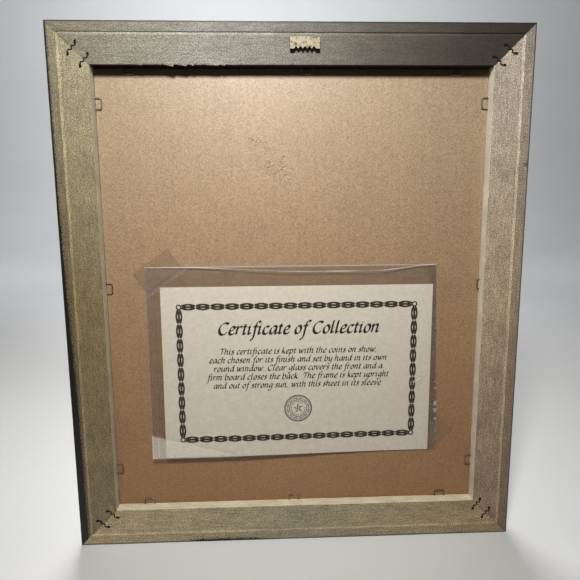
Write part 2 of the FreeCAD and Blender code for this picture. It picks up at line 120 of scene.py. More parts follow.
def uneven(parts):
    """Values from 0 to 1 with more of them where the parts ask: (end, count) pairs."""
    values = [0.0]
    for end, count in parts:
        values.extend(np.linspace(values[-1], end, count + 1)[1:])
    return np.array(values)


def places(x, y, z):
    """Points from their coordinates; each is an array or one number for all of them."""
    return np.stack(np.broadcast_arrays(x, y, z), -1).astype(float)


def grid_quads(rows, columns, wrap_columns=False):
    """Quads of a rows by columns grid of points; its last column can be joined to its first."""
    last_column = columns if wrap_columns else columns - 1
    r, c = np.meshgrid(np.arange(rows - 1), np.arange(last_column), indexing="ij")
    r, c = r.ravel(), c.ravel()
    r2, c2 = r + 1, (c + 1) % columns
    return np.stack([r * columns + c, r2 * columns + c, r2 * columns + c2, r * columns + c2], 1)


class Shell:
    """Points, faces and per point values gathered before they become one mesh."""

    def __init__(self):
        self.points = []
        self.faces = []
        self.values = {}
        self.count = 0

    def add(self, points, faces, **values):
        """Add points (any shape by 3, mm) with faces that number them from 0; values are per point."""
        points = np.asarray(points, float).reshape(-1, 3)
        self.points.append(points)
        for face in faces:
            self.faces.append([int(corner) + self.count for corner in face])
        for name, value in values.items():
            value = np.asarray(value, float)
            wide = value.shape[-1] if value.ndim > 1 and value.shape[-1] in (2, 4) else 1
            shape = (len(points), wide) if wide > 1 else (len(points),)
            flat = value.reshape(-1, wide) if wide > 1 else value.ravel()
            self.values.setdefault(name, []).append(np.broadcast_to(flat, shape))
        self.count += len(points)

    def build(self, name, material, body="frame", stands_for=(), slot=None, merge=0.0):
        """Make the mesh object in metres, at the origin, riding on a body."""
        mesh = bpy.data.meshes.new(name)
        points = np.concatenate(self.points) * MM
        mesh.from_pydata(points.tolist(), [], self.faces)
        for key, parts in self.values.items():
            data = np.concatenate(parts)
            if key == "uv":
                layer = mesh.uv_layers.new(name="UVMap")
                corner = np.empty(len(mesh.loops), np.int32)
                mesh.loops.foreach_get("vertex_index", corner)
                layer.data.foreach_set("uv", (data[corner] * MM).ravel())
            elif data.ndim > 1:
                layer = mesh.attributes.new(key, "FLOAT_COLOR", "POINT")
                layer.data.foreach_set("color", data.ravel())
            else:
                layer = mesh.attributes.new(key, "FLOAT", "POINT")
                layer.data.foreach_set("value", data)
        mend(mesh, merge)
        mesh.shade_smooth()
        mesh.set_sharp_from_angle(angle=SHARP_ANGLE)
        finish_piece(name, mesh, material, body, stands_for)


def mend(mesh, merge=0.0, flatten=False):
    """Merge points nearer than that (mm), if asked join flat faces, and turn all faces outwards."""
    work = bmesh.new()
    work.from_mesh(mesh)
    if merge:
        bmesh.ops.remove_doubles(work, verts=work.verts, dist=merge * MM)
    if flatten:
        flat = math.radians(1.0)
        bmesh.ops.dissolve_limit(work, angle_limit=flat, verts=work.verts, edges=work.edges)
    bmesh.ops.recalc_face_normals(work, faces=work.faces)
    work.to_mesh(mesh)
    work.free()


def finish_piece(name, mesh, material, body, stands_for=()):
    """Link a mesh as a piece that rides on a body."""
    piece = bpy.data.objects.new(name, mesh)
    bpy.context.scene.collection.objects.link(piece)
    piece.data.materials.clear()
    piece.data.materials.append(material)
    if stands_for:
        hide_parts(*stands_for)
    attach(piece, body)
    return piece


def sheet_between(shell, near, far, **values):
    """Closed sheet between two grids of points of one shape: both faces and the edge all round."""
    rows, columns = near.shape[:2]
    quads = grid_quads(rows, columns)
    total = rows * columns
    number = np.arange(total).reshape(rows, columns)
    rim = np.concatenate(
        [number[0, :-1], number[:-1, -1], number[-1, :0:-1], number[:0:-1, 0]]
    )
    after = np.roll(rim, -1)
    walls = np.stack([rim, after, after + total, rim + total], 1)
    faces = np.concatenate([quads, quads[:, ::-1] + total, walls])
    doubled = {key: np.concatenate([np.ravel(v), np.ravel(v)]) for key, v in values.items()}
    shell.add(np.concatenate([near.reshape(-1, 3), far.reshape(-1, 3)]), faces, **doubled)


def rope(shell, rings, **values):
    """Closed bar through rings of points, given as (along, round, 3), with both ends filled in."""
    rows, columns = rings.shape[:2]
    faces = [list(face) for face in grid_quads(rows, columns, wrap_columns=True)]
    faces += [list(range(columns)), list(range((rows - 1) * columns, rows * columns))]
    shell.add(rings, faces, **values)


def tube(shell, path, radius_across, radius_deep, sides):
    """Closed wire along a path in the XZ plane: cosine across by sine deep, square to the path."""
    ahead = np.gradient(path, axis=0)
    ahead /= np.linalg.norm(ahead, axis=1, keepdims=True)
    deep = np.array([0.0, 1.0, 0.0])
    across = np.cross(ahead, deep)
    turn = np.linspace(0, 2 * math.pi, sides, endpoint=False)[None, :, None]
    round_across = across[:, None] * np.cos(turn) * radius_across
    rope(shell, path[:, None] + round_across + deep * np.sin(turn) * radius_deep)


def softened(node, width, material):
    """A CAD node's own shape with its edges eased by a bevel of that width, standing for the node."""
    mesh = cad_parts[node].data.copy()
    mend(mesh, merge=0.002, flatten=True)
    piece = finish_piece(node + "_eased", mesh, material, "frame", (node,))
    bevel = piece.modifiers.new("eased_edges", "BEVEL")
    bevel.width = width * MM
    bevel.segments = 2
    bevel.limit_method = "ANGLE"
    bevel.angle_limit = SHARP_ANGLE
    mesh.shade_smooth()
    mesh.set_sharp_from_angle(angle=SHARP_ANGLE)


# ---------------------------------------------------------------- colours of the finishes


KRAFT_BROWN = (0.270, 0.138, 0.055)
KRAFT_TAN = (0.290, 0.152, 0.064)
# Paler, greyer kraft for the board's head: painted sheen.
KRAFT_PAINTED_SHEEN = (0.290, 0.214, 0.132)
FOLD_PALE = (0.55, 0.45, 0.33)
SPECK_BROWN = (0.12, 0.07, 0.04)
STAIN_BROWN = (0.17, 0.1, 0.06)
# Painted shade along the board's head, under the top rail.
PAINTED_SHADE_BROWN = (0.085, 0.04, 0.018)
PORE_BROWN = (0.045, 0.035, 0.022)
PIT_BROWN = (0.055, 0.045, 0.03)
SPRAY_GREY = (0.05, 0.045, 0.038)
PAINT_BLACK = (0.012, 0.011, 0.010)
PAINT_RUBBED = (0.06, 0.05, 0.04)
PAPER_WARM = (0.565, 0.512, 0.425)
PAPER_LIGHT = (0.60, 0.546, 0.46)
# Veil colour of the film; on the back film it also paints the shade under the sleeve.
FILM_VEIL_AND_SHADE_BROWN = (0.15, 0.12, 0.11)
# Whitening of the film where Edge or Haze is high: painted highlights, a painted reflection and paler
# spots.
FILM_WHITE_HAZE_AND_HIGHLIGHT = (0.95, 0.89, 0.79)
BUBBLE_TAN = (0.36, 0.25, 0.14)
GLASS_GREEN = (0.016, 0.022, 0.020)
MAT_BLUE = (0.010, 0.016, 0.042)
MAT_WORN = (0.030, 0.042, 0.085)
MAT_CORE = (0.78, 0.76, 0.70)
FLOOR_WHITE = (0.80, 0.81, 0.82)


# ---------------------------------------------------------------- shader helpers


def put(tree, kind, inputs=None, **settings):
    """Add a node; inputs are values or sockets to link from."""
    made = tree.nodes.new(kind)
    for key, value in settings.items():
        setattr(made, key, value)
    for key, value in (inputs or {}).items():
        if isinstance(value, bpy.types.NodeSocket):
            tree.links.new(value, made.inputs[key])
        else:
            made.inputs[key].default_value = value
    return made


def calc(tree, operation, first, *others):
    """A maths node's result; several values are taken one by one, each with the result so far."""
    if not others:
        return put(tree, "ShaderNodeMath", {0: first}, operation=operation).outputs[0]
    for other in others:
        first = put(tree, "ShaderNodeMath", {0: first, 1: other}, operation=operation).outputs[0]
    return first


def remap(tree, value, low, high, to_low=0.0, to_high=1.0):
    """A value moved smoothly from one range to another and held at its ends."""
    inputs = {
        "Value": value, "From Min": low, "From Max": high, "To Min": to_low, "To Max": to_high
    }
    made = put(tree, "ShaderNodeMapRange", inputs, interpolation_type="SMOOTHSTEP")
    return made.outputs["Result"]


def blend(tree, factor, one, other, how="MIX"):
    """Mix two colours."""
    made = put(tree, "ShaderNodeMix", data_type="RGBA", blend_type=how)
    for socket, value in ((0, factor), (6, one), (7, other)):
        if isinstance(value, bpy.types.NodeSocket):
            tree.links.new(value, made.inputs[socket])
        elif socket:
            made.inputs[socket].default_value = (*value, 1.0)
        else:
            made.inputs[socket].default_value = value
    return made.outputs[2]


def noise(tree, vector, scale, detail=3.0, rough=0.55):
    """Fractal noise, about 0 to 1."""
    inputs = {"Vector": vector, "Scale": scale, "Detail": detail, "Roughness": rough}
    return put(tree, "ShaderNodeTexNoise", inputs).outputs["Fac"]


def stretch(tree, vector, scale):
    """Coordinates scaled by a different amount along each axis."""
    return put(tree, "ShaderNodeMapping", {"Vector": vector, "Scale": scale}).outputs["Vector"]


def attribute(tree, name, colour=False):
    """A per point value of the piece."""
    made = put(tree, "ShaderNodeAttribute", attribute_name=name)
    return made.outputs["Color" if colour else "Fac"]


def shaded(tree, colour, tone):
    """A colour multiplied by a grey tone."""
    grey = put(tree, "ShaderNodeCombineColor", {0: tone, 1: tone, 2: tone}).outputs[0]
    return blend(tree, 1.0, colour, grey, "MULTIPLY")


def use_group(tree, group, **values):
    """Place a shared group with its own values; underscores in names stand for spaces."""
    made = put(tree, "ShaderNodeGroup", node_tree=group)
    for key, value in values.items():
        socket = made.inputs[key.replace("_", " ")]
        if isinstance(value, bpy.types.NodeSocket):
            tree.links.new(value, socket)
        else:
            socket.default_value = value
    return made


def feed(tree, node, **sockets):
    """Link results to a node's own sockets; underscores in names stand for spaces."""
    for key, value in sockets.items():
        tree.links.new(value, node.inputs[key.replace("_", " ")])


def make_group(name, numbers, outputs):
    """An empty shader group that takes a Vector and named numbers; returns it and its two ends."""
    group = bpy.data.node_groups.new(name, "ShaderNodeTree")
    group.interface.new_socket("Vector", in_out="INPUT", socket_type="NodeSocketVector")
    for label, value in numbers.items():
        socket = group.interface.new_socket(label, in_out="INPUT", socket_type="NodeSocketFloat")
        socket.default_value = value
    for label in outputs:
        kind = "NodeSocketColor" if label == "Color" else "NodeSocketFloat"
        group.interface.new_socket(label, in_out="OUTPUT", socket_type=kind)
    return group, group.nodes.new("NodeGroupInput"), group.nodes.new("NodeGroupOutput")


def speckle_group():
    """Fine fleck and cloud: paper pulp, wood pores, card fibre or patina, by its values.

    Tone is near 1 with dark flecks and broad soft clouds; Height is the fine relief.
    """
    numbers = {"Fleck Scale": 1500.0, "Fleck Depth": 0.2, "Cloud Scale": 30.0, "Cloud Depth": 0.2}
    group, start, end = make_group("fleck_and_cloud", numbers, ("Tone", "Height"))
    given = start.outputs
    fleck = noise(group, given["Vector"], given["Fleck Scale"], 2.0, 0.65)
    cloud = noise(group, given["Vector"], given["Cloud Scale"], 4.0, 0.6)
    fine = remap(group, fleck, 0.32, 0.68, -1.0, 1.0)
    broad = remap(group, cloud, 0.3, 0.7, -1.0, 1.0)
    fine = calc(group, "MULTIPLY", fine, given["Fleck Depth"])
    broad = calc(group, "MULTIPLY", broad, given["Cloud Depth"])
    feed(group, end, Tone=calc(group, "ADD", fine, broad, 1.0), Height=fleck)
    return group


def flecks(tree, place, fleck_scale, fleck_depth, cloud_scale, cloud_depth):
    """The shared flecks and clouds: scales are per metre, depths are shares of the tone."""
    return use_group(
        tree, SPECKLE, Vector=place, Fleck_Scale=fleck_scale, Fleck_Depth=fleck_depth,
        Cloud_Scale=cloud_scale, Cloud_Depth=cloud_depth,
    )


def grain_group():
    """Long fibres along the first coordinate: wood grain, or the brushing on metal.

    Tone is near 1 with darker streaks; Pores marks short dark dashes; Height is their relief.
    """
    numbers = {"Along": 25.0, "Across": 700.0, "Depth": 0.3}
    group, start, end = make_group("long_fibres", numbers, ("Tone", "Pores", "Height"))
    given = start.outputs
    parts = put(group, "ShaderNodeSeparateXYZ", {0: given["Vector"]}).outputs
    along = calc(group, "MULTIPLY", parts["X"], given["Along"])
    across = calc(group, "MULTIPLY", parts["Y"], given["Across"])
    deep = calc(group, "MULTIPLY", parts["Z"], given["Across"])
    joined = put(group, "ShaderNodeCombineXYZ", {0: along, 1: across, 2: deep}).outputs[0]
    streak = noise(group, joined, 1.0, 4.0, 0.6)
    dash = noise(group, stretch(group, joined, (9.0, 1.9, 1.9)), 1.0, 1.0, 0.5)
    pores = remap(group, dash, 0.6, 0.7)
    tone = calc(group, "MULTIPLY", remap(group, streak, 0.3, 0.7, -1.0, 1.0), given["Depth"])
    height = calc(group, "SUBTRACT", streak, calc(group, "MULTIPLY", pores, 0.6))
    feed(group, end, Tone=calc(group, "ADD", tone, 1.0), Pores=pores, Height=height)
    return group


def kraft_group():
    """Kraft paper: brown ground with a painted sheen towards its head, flecks and short fibres."""
    group, start, end = make_group("kraft_paper", {}, ("Color", "Height"))
    place = start.outputs["Vector"]
    fleck = flecks(group, place, 2300.0, 0.20, 16.0, 0.03).outputs
    grit = flecks(group, place, 1250.0, 0.22, 90.0, 0.025).outputs
    fibre = noise(group, stretch(group, place, (700.0, 700.0, 1300.0)), 1.0, 3.0, 0.65)
    fibre_tone = remap(group, fibre, 0.25, 0.75, 0.94, 1.06)
    tone = calc(group, "MULTIPLY", fleck["Tone"], grit["Tone"], fibre_tone)
    up = put(group, "ShaderNodeSeparateXYZ", {0: place}).outputs["Z"]
    fresh = blend(group, noise(group, place, 9.0, 2.0), KRAFT_BROWN, KRAFT_TAN)
    # Painted sheen: the ground turns paler and greyer towards the board's head.
    ground = blend(group, remap(group, up, -0.02, TALL * MM), fresh, KRAFT_PAINTED_SHEEN)
    coarse = calc(group, "MULTIPLY", grit["Height"], 0.5)
    height = calc(group, "ADD", calc(group, "MULTIPLY", fibre, 0.35), coarse)
    feed(group, end, Color=shaded(group, ground, tone), Height=height)
    return group


SPECKLE = speckle_group()
GRAIN = grain_group()
KRAFT = kraft_group()


def new_material(name, **constants):
    """A material with one Principled shader; constants are set on the shader's own sockets."""
    material = bpy.data.materials.new(name)
    material.use_nodes = True
    tree = material.node_tree
    shader = tree.nodes["Principled BSDF"]
    for key, value in constants.items():
        shader.inputs[key.replace("_", " ")].default_value = value
    return material, tree, shader


def object_place(tree):
    """Position on the piece, in metres."""
    return put(tree, "ShaderNodeTexCoord").outputs["Object"]


def bump(tree, shader, height, distance, strength):
    """Feed a relief to the shader's normal; distance is in metres."""
    inputs = {"Height": height, "Distance": distance, "Strength": strength}
    feed(tree, shader, Normal=put(tree, "ShaderNodeBump", inputs).outputs[0])


# ---------------------------------------------------------------- materials


def rail_wood():
    """Raw stained wood, flecked and misted with spray; painted where Paint is 1, wall tint where Pale is.

    Paint breaks up at its edge: cloud and mist are added to it before it is cut off.
    """
    material, tree, shader = new_material("raw_and_painted_wood", Specular_IOR_Level=0.3)
    place = put(tree, "ShaderNodeUVMap", uv_map="UVMap").outputs[0]
    grain = use_group(tree, GRAIN, Vector=place, Along=60.0, Across=700.0, Depth=0.16).outputs
    fleck = flecks(tree, place, 1500.0, 0.2, 55.0, 0.10).outputs["Tone"]
    grit = flecks(tree, place, 1050.0, 0.44, 210.0, 0.10).outputs["Tone"]
    tone = calc(tree, "MULTIPLY", grain["Tone"], fleck)
    raw = shaded(tree, attribute(tree, "tint", colour=True), calc(tree, "MULTIPLY", tone, grit))
    raw = blend(tree, calc(tree, "MULTIPLY", grain["Pores"], 0.3), raw, PORE_BROWN)
    pits = remap(tree, noise(tree, place, 1250.0, 1.0, 0.5), 0.51, 0.63, 0.0, 0.5)
    raw = blend(tree, pits, raw, PIT_BROWN)
    cloud = noise(tree, place, 34.0, 5.0, 0.68)
    mist = remap(tree, noise(tree, place, 900.0, 2.0, 0.8), 0.42, 0.62)
    misted = calc(tree, "ADD", mist, 0.35)
    spray = calc(tree, "MULTIPLY", remap(tree, cloud, 0.5, 0.72), misted, 0.34)
    raw = blend(tree, spray, raw, SPRAY_GREY)
    # The wall tint covers the rabbet wall; on the top rail it is near black, painted shade on the wall's
    # underside.
    wall = shaded(tree, attribute(tree, "wall_tint", colour=True), tone)
    raw = blend(tree, attribute(tree, "pale"), raw, wall)
    cloudy, misty = calc(tree, "MULTIPLY", cloud, 0.5), calc(tree, "MULTIPLY", mist, 0.34)
    painted = remap(tree, calc(tree, "ADD", attribute(tree, "paint"), cloudy, misty), 0.76, 0.95)
    rub = remap(tree, noise(tree, place, 260.0, 4.0, 0.7), 0.62, 0.78, 0.0, 0.25)
    coat = blend(tree, rub, PAINT_BLACK, PAINT_RUBBED)
    rough = remap(tree, painted, 0.0, 1.0, 0.62, 0.34)
    feed(tree, shader, Base_Color=blend(tree, painted, raw, coat), Roughness=rough)
    filled = remap(tree, painted, 0.0, 1.0, 1.0, 0.25)
    bump(tree, shader, calc(tree, "MULTIPLY", grain["Height"], filled), 0.00018, 0.75)
    return material


def kraft_board():
    """Kraft paper face with faint flute lines, folds where Scuff is high, and a few specks."""
    material, tree, shader = new_material(
        "kraft_board", Specular_IOR_Level=0.5, Coat_Weight=0.3, Coat_Roughness=0.5
    )
    place = object_place(tree)
    paper = use_group(tree, KRAFT, Vector=place).outputs
    flute = remap(tree, attribute(tree, "flute"), 0.0, 1.0, 0.985, 1.015)
    base = shaded(tree, paper["Color"], flute)
    fold = calc(tree, "SUBTRACT", noise(tree, place, 330.0, 3.0, 0.6), 0.5)
    fold = remap(tree, calc(tree, "ABSOLUTE", fold), 0.0, 0.035, 1.0, 0.0)
    worn = calc(tree, "MULTIPLY", attribute(tree, "scuff"), fold)
    base = blend(tree, calc(tree, "MULTIPLY", worn, 0.7), base, FOLD_PALE)
    speck = remap(tree, noise(tree, place, 260.0, 1.0, 0.4), 0.76, 0.8, 0.0, 0.5)
    base = blend(tree, speck, base, SPECK_BROWN)
    base = blend(tree, attribute(tree, "stain"), base, STAIN_BROWN)
    # Painted shade: the board darkens along its head, under the top rail.
    base = blend(tree, attribute(tree, "grime"), base, PAINTED_SHADE_BROWN)
    feed(tree, shader, Base_Color=base, Roughness=remap(tree, paper["Height"], 0.2, 0.7, 0.36, 0.5))
    relief = calc(tree, "ADD", paper["Height"], calc(tree, "MULTIPLY", worn, 2.3))
    bump(tree, shader, relief, 0.00018, 0.8)
    return material


def card(name, light, dark):
    """Plain card or foam board: small flecks on a soft cloudy ground."""
    material, tree, shader = new_material(name, Roughness=0.85)
    place = object_place(tree)
    fleck = flecks(tree, place, 1800.0, 0.08, 20.0, 0.05).outputs
    base = blend(tree, noise(tree, place, 600.0, 3.0), light, dark)
    feed(tree, shader, Base_Color=shaded(tree, base, fleck["Tone"]))
    bump(tree, shader, fleck["Height"], 0.00008, 0.5)
    return material


def certificate_paper():
    """Warm white laid paper with a soft mottle."""
    material, tree, shader = new_material("certificate_paper", Roughness=0.6)
    place = object_place(tree)
    fleck = flecks(tree, place, 1100.0, 0.045, 240.0, 0.05).outputs
    base = blend(tree, noise(tree, place, 14.0, 3.0), PAPER_WARM, PAPER_LIGHT)
    feed(tree, shader, Base_Color=shaded(tree, base, fleck["Tone"]))
    bump(tree, shader, fleck["Height"], 0.00003, 0.4)
    return material


def ink(name, dark, light):
    """Printed ink, a little uneven where the paper's tooth shows through."""
    material, tree, shader = new_material(name, Roughness=0.5)
    place = object_place(tree)
    thin = remap(tree, noise(tree, place, 1400.0, 3.0, 0.7), 0.45, 0.8)
    feed(tree, shader, Base_Color=blend(tree, thin, dark, light))
    bump(tree, shader, thin, 0.00002, 0.3)
    return material


def clear_film():
    """Thin clear film: brown veil, partly painted shade; whiter and denser where Edge or Haze is high."""
    material, tree, shader = new_material(
        "clear_film", Specular_IOR_Level=0.9, Coat_Weight=0.6, Coat_Roughness=0.06
    )
    place = object_place(tree)
    edge, haze = attribute(tree, "edge"), attribute(tree, "haze")
    streak = noise(tree, stretch(tree, place, (40.0, 40.0, 130.0)), 1.0, 4.0, 0.6)
    dust = remap(tree, noise(tree, place, 700.0, 3.0, 0.7), 0.62, 0.8, 0.0, 0.02)
    # Edge and Haze whiten the film: painted highlights along lips, welds and fold, a painted reflection,
    # paler spots and seam lines.
    glow = calc(tree, "MAXIMUM", edge, remap(tree, haze, 0.0, 0.3))
    drawn = remap(tree, streak, 0.3, 0.75, 0.85, 1.15)
    veil = calc(tree, "MULTIPLY", attribute(tree, "veil"), drawn)
    lit, hazed = calc(tree, "MULTIPLY", edge, 0.62), calc(tree, "MULTIPLY", haze, 0.5)
    alpha = calc(tree, "MINIMUM", calc(tree, "ADD", veil, dust, lit, hazed), 1.0)
    base, rough = blend(tree, glow, FILM_VEIL_AND_SHADE_BROWN, FILM_WHITE_HAZE_AND_HIGHLIGHT), remap(tree, streak, 0.3, 0.7, 0.10, 0.2)
    feed(tree, shader, Base_Color=base, Alpha=alpha, Roughness=rough)
    bump(tree, shader, streak, 0.0004, 0.4)
    return material


def clear_tape():
    """Aged clear tape, pressed flat: the kraft paper shows through it, its tone set by Wet."""
    material, tree, shader = new_material("clear_tape", Specular_IOR_Level=0.8, Coat_Weight=0.3)
    place = object_place(tree)
    paper = use_group(tree, KRAFT, Vector=place).outputs
    bubbles = remap(tree, noise(tree, place, 900.0, 2.0, 0.6), 0.58, 0.7)
    streak = noise(tree, place, 120.0, 4.0, 0.6)
    wet = calc(tree, "MULTIPLY", attribute(tree, "wet"), remap(tree, streak, 0.3, 0.7, 0.95, 1.05))
    base = shaded(tree, paper["Color"], wet)
    base = blend(tree, calc(tree, "MULTIPLY", bubbles, 0.12), base, BUBBLE_TAN)
    feed(tree, shader, Base_Color=base, Roughness=remap(tree, bubbles, 0.0, 1.0, 0.4, 0.55))
    bump(tree, shader, streak, 0.0001, 0.5)
    return material


def metal(name, light, dark, rough, patina, hollow=None):
    """Drawn or stamped metal: fine brushing, cloudy tarnish and, if asked, dark hollows."""
    material, tree, shader = new_material(name, Metallic=1.0)
    place = object_place(tree)
    grain = use_group(tree, GRAIN, Vector=place, Along=90.0, Across=900.0, Depth=0.10).outputs
    fleck = flecks(tree, place, 2600.0, 0.07, 150.0, 0.12).outputs
    dull = remap(tree, noise(tree, place, 330.0, 4.0, 0.65), 0.42, 0.72)
    base = blend(tree, calc(tree, "MULTIPLY", dull, patina), light, dark)
    base = shaded(tree, base, calc(tree, "MULTIPLY", grain["Tone"], fleck["Tone"]))
    if hollow:
        base = blend(tree, attribute(tree, "hollow"), base, hollow)
    feed(tree, shader, Base_Color=base, Roughness=remap(tree, dull, 0.0, 1.0, rough, rough + 0.22))
    bump(tree, shader, grain["Height"], 0.00003, 0.5)
    return material


def clear_glass():
    """Picture glass: clear seen square on, mirror-like at a glancing angle, faint green."""
    material, tree, shader = new_material(
        "picture_glass", Base_Color=(*GLASS_GREEN, 1.0), Specular_IOR_Level=1.0
    )
    place = object_place(tree)
    facing = put(tree, "ShaderNodeLayerWeight", {"Blend": 0.22}).outputs["Fresnel"]
    smear = remap(tree, noise(tree, place, 24.0, 4.0, 0.6), 0.45, 0.75, 0.0, 0.02)
    alpha = calc(tree, "ADD", remap(tree, facing, 0.02, 0.9, 0.05, 0.5), smear)
    feed(tree, shader, Alpha=alpha, Roughness=remap(tree, smear, 0.0, 0.02, 0.02, 0.09))
    return material


def mat_board():
    """Dark blue mat: cloth-like tooth on the face, white core where Core is 1."""
    material, tree, shader = new_material("dark_mat", Roughness=0.88)
    place = object_place(tree)
    weave_x = noise(tree, stretch(tree, place, (260.0, 260.0, 2400.0)), 1.0, 2.0)
    weave_z = noise(tree, stretch(tree, place, (2400.0, 260.0, 260.0)), 1.0, 2.0)
    weave = calc(tree, "MAXIMUM", weave_x, weave_z)
    face = blend(tree, remap(tree, weave, 0.4, 0.75), MAT_BLUE, MAT_WORN)
    core = shaded(tree, MAT_CORE, flecks(tree, place, 1500.0, 0.06, 18.0, 0.05).outputs["Tone"])
    feed(tree, shader, Base_Color=blend(tree, attribute(tree, "core"), face, core))
    bump(tree, shader, weave, 0.00012, 0.7)
    return material


MATERIALS = {
    "wood": rail_wood(),
    "kraft": kraft_board(),
    "foam": card("coin_carrier_board", (0.80, 0.79, 0.74), (0.72, 0.71, 0.66)),
    "card": card("grey_card", (0.50, 0.48, 0.44), (0.42, 0.40, 0.37)),
    "torn": card("torn_kraft", (0.58, 0.46, 0.32), (0.34, 0.24, 0.15)),
    "paper": certificate_paper(),
    "ink": ink("black_ink", (0.006, 0.005, 0.004), (0.02, 0.018, 0.014)),
    "border_ink": ink("border_ink", (0.018, 0.014, 0.006), (0.080, 0.062, 0.028)),
    "film": clear_film(),
    "tape": clear_tape(),
    "staple": metal("staple_wire", (0.24, 0.215, 0.18), (0.07, 0.058, 0.04), 0.36, patina=0.75),
    # Near black: blackened steel that also paints the shade of the slots the nails sit in.
    "nail": metal("blackened_nail_and_painted_slot_shade", (0.022, 0.019, 0.017), (0.008, 0.007, 0.006), 0.6, patina=0.8),
    "brass": metal("pale_brass", (0.165, 0.145, 0.105), (0.06, 0.047, 0.03), 0.56, patina=0.8),
    "coin": metal(
        "coin_silver", (0.80, 0.79, 0.76), (0.58, 0.56, 0.52), 0.27, patina=0.3,
        hollow=(0.27, 0.26, 0.24),
    ),
    "glass": clear_glass(),
    "mat": mat_board(),
}


# ---------------------------------------------------------------- rails


JOINT = 0.07
# Groove tones: a painted shade line along its outer side, and paler cut wood on its inner side brightened
# further as a painted highlight.
GROOVE_PAINTED_SHADE = 0.45
GROOVE_PAINTED_HIGHLIGHT = 1.75


def arc_between(first, last, sweep, share):
    """Points on the arc of that sweep from one arm to another, both from the arc's middle."""
    return (np.sin((1 - share) * sweep) * first + np.sin(share * sweep) * last) / math.sin(sweep)


def rounded(corners, radii):
    """A closed outline whose corners are eased: each corner becomes a short tangent arc."""
    corners = np.array(corners, float)
    outline = []
    lasts, nexts = np.roll(corners, 1, axis=0), np.roll(corners, -1, axis=0)
    for last, here, after, radius in zip(lasts, corners, nexts, radii):
        if radius <= 0:
            outline.append(here[None])
            continue
        one = (last - here) / np.linalg.norm(last - here)
        two = (after - here) / np.linalg.norm(after - here)
        half = math.acos(np.clip(one @ two, -1, 1)) / 2
        reach = radius / math.tan(half)
        centre = here + (one + two) / np.linalg.norm(one + two) * radius / math.sin(half)
        sweep = math.pi - 2 * half
        share = np.linspace(0, 1, 3 + int(sweep * 4))[:, None]
        start, end = here + one * reach - centre, here + two * reach - centre
        outline.append(centre + arc_between(start, end, sweep, share))
    return np.concatenate(outline)


def fill_in(outline, step):
    """The same closed outline with extra points, so that no run is longer than step."""
    dense = []
    for here, after in zip(outline, np.roll(outline, -1, axis=0)):
        parts = max(1, math.ceil(np.linalg.norm(after - here) / step))
        dense.append(here + (after - here) * np.arange(parts)[:, None] / parts)
    return np.concatenate(dense)


def rail_profile():
    """The moulding's section: inset from the outer edge, and depth."""
    start = np.array([FLAT_END, FRONT - STEP_DEEP])
    end = np.array([SIGHT, LIP + LIP_EDGE])
    chord = end - start
    length = np.linalg.norm(chord)
    side = np.array([chord[1], -chord[0]]) / length
    side = side if side[1] > 0 else -side
    middle = (start + end) / 2 + side * math.sqrt(SCOOP_RADIUS**2 - length**2 / 4)
    first, last = start - middle, end - middle
    sweep = math.acos(np.clip(first @ last / SCOOP_RADIUS**2, -1, 1))
    scoop = middle + arc_between(first, last, sweep, np.linspace(0, 1, 10)[1:-1, None])
    groove = [(GROOVE_HALF, 0.0), (0.0, GROOVE_DEEP), (-GROOVE_HALF, 0.0)]
    corners = [(0, BACK), (0, FRONT), (FLAT_END, FRONT), start, *scoop, end]
    corners += [(SIGHT, LIP), (WALL, LIP), (WALL, BACK)]
    corners += [(GROOVE_INSET + across, BACK + deep) for across, deep in groove]
    radii = [0.5, EDGE_ROUND, 0.5, 0.25] + [0] * len(scoop) + [0.4, 0.3, 0.0, 0.45, 0.15, 0.12, 0.15]
    return fill_in(rounded(corners, radii), 1.3)


def along_tint(points, values):
    """Colour that runs through the given colours at the given places along a rail."""
    parts = np.array(values).T
    return lambda where: np.stack([np.interp(where, points, part) for part in parts], -1)


def tear(where, middle, reach, height):
    """A torn edge: slivers stand out and bites are missing, fading out to both sides."""
    hump = np.clip(1 - np.abs(where - middle) / reach, 0, 1) ** 0.7
    split = (where / 7.3 + 0.3 * wobble(where, 0, 15.0, 73)) % 1
    jag = 1.5 * split**1.6 * (0.65 + 0.35 * wobble(where, 0, 26.0, 75)) - 0.15
    return hump * height * jag


